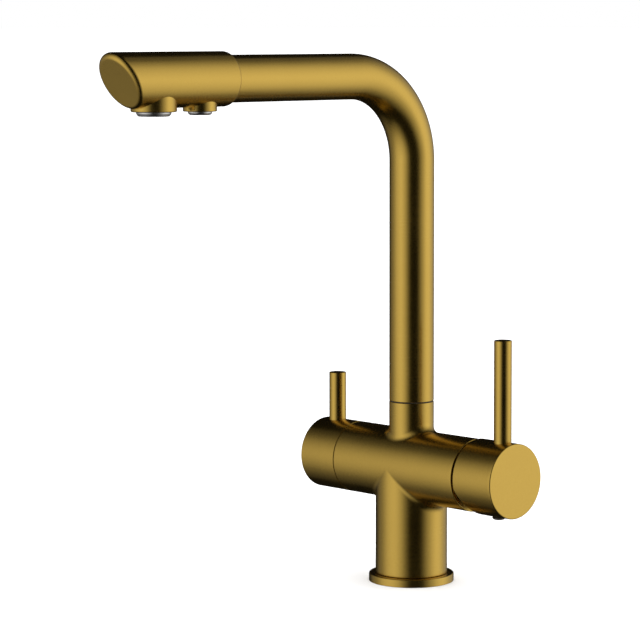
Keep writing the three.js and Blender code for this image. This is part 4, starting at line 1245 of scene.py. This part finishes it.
def add_world():
    world = bpy.data.worlds.new("studio")
    bpy.context.scene.world = world
    world.use_nodes = True
    tree = world.node_tree
    tree.nodes.clear()
    path = add_node(tree, "ShaderNodeLightPath")
    mix = add_node(tree, "ShaderNodeMixShader")
    tree.links.new(path.outputs["Is Camera Ray"], mix.inputs["Fac"])
    tree.links.new(add_background(tree, ROOM_STRENGTH), mix.inputs[1])
    tree.links.new(add_background(tree, BACKDROP_STRENGTH), mix.inputs[2])
    output = add_node(tree, "ShaderNodeOutputWorld")
    tree.links.new(mix.outputs[0], output.inputs["Surface"])


def set_view():
    bpy.context.scene.view_settings.view_transform = "Standard"


def add_floor():
    material, tree, shader = new_material("floor_paper")
    shader.inputs["Base Color"].default_value = (FLOOR_TONE, FLOOR_TONE, FLOOR_TONE, 1)
    shader.inputs["Roughness"].default_value = FLOOR_ROUGHNESS
    shader.inputs["Specular IOR Level"].default_value = FLOOR_SHINE
    deselect_objects()
    bpy.ops.mesh.primitive_plane_add(size=FLOOR_SIZE, location=(0, 0, 0))
    floor = bpy.context.object
    floor.name = "floor"
    floor.data.materials.append(material)
    floor.visible_glossy = False
    floor.visible_shadow = False


# ---------------- run


def make_base():
    gold = MATERIALS["brushed_gold"]
    make_base_flange(gold)
    make_base_seal(MATERIALS["rubber_black"])
    make_valve_body(gold)
    make_bearing_ring(MATERIALS["dark_plastic"])
    sizes = (SWIVEL_SCREW_RADIUS, NECK_BORE - GROOVE_DEPTH + SEAT, NECK_RADIUS - EDGE)
    place = UP * SWIVEL_SCREW_HEIGHT
    make_set_screw("spout_set_screw", *sizes, place, BACK, MATERIALS["steel"])


def make_handles():
    gold = MATERIALS["brushed_gold"]
    steel = MATERIALS["steel"]
    make_mixer_knob(gold)
    sizes = (MIXER_KNOB_RADIUS, MIXER_LEVER_TOP, MIXER_STUD_DEPTH)
    make_lever("mixer_lever", *sizes, MIXER_LEVER_AXIS, gold)
    sizes = (GRUB_RADIUS, STEM_WIDTH / 2 + SEAT, MIXER_KNOB_RADIUS - GRUB_SINK)
    make_set_screw("mixer_set_screw", *sizes, PLUG_AXIS, DOWN, steel)
    make_index_plug(MATERIALS["dark_plastic"])
    make_cover_ring(MATERIALS["dark_plastic"])
    make_filter_knob(gold)
    sizes = (BODY_RADIUS, FILTER_LEVER_TOP, FILTER_STUD_DEPTH)
    make_lever("filter_lever", *sizes, FILTER_LEVER_AXIS, gold)
    sizes = (GRUB_RADIUS, SPINDLE_RADIUS + SEAT, BODY_RADIUS - GRUB_SINK)
    make_set_screw("filter_set_screw", *sizes, FILTER_LEVER_AXIS, DOWN, steel)


def make_spout():
    gold = MATERIALS["brushed_gold"]
    make_spout_tube(gold)
    make_spout_head(gold)
    make_head_cap(MATERIALS["brushed_gold_cap"])
    finishes = (MATERIALS["aerator_silver"], MATERIALS["aerator_mesh"])
    mixed = (MIXED_OUTLET, MIXED_BOSS_RADIUS, MIXED_AERATOR_RADIUS, MIXED_BOSS_DROP, MIXED_AERATOR_DROP)
    make_aerator("mixed_aerator", *mixed, *finishes)
    filtered = (
        FILTER_OUTLET, FILTER_BOSS_RADIUS, FILTER_AERATOR_RADIUS, FILTER_BOSS_DROP, FILTER_AERATOR_DROP,
    )
    make_aerator("filter_outlet", *filtered, *finishes)


dress_cad_nodes()
make_base()
make_handles()
make_spout()
add_camera()
for softbox in SIDE_LIGHTS:
    add_softbox(*softbox)
add_sun()
add_world()
add_floor()
set_view()
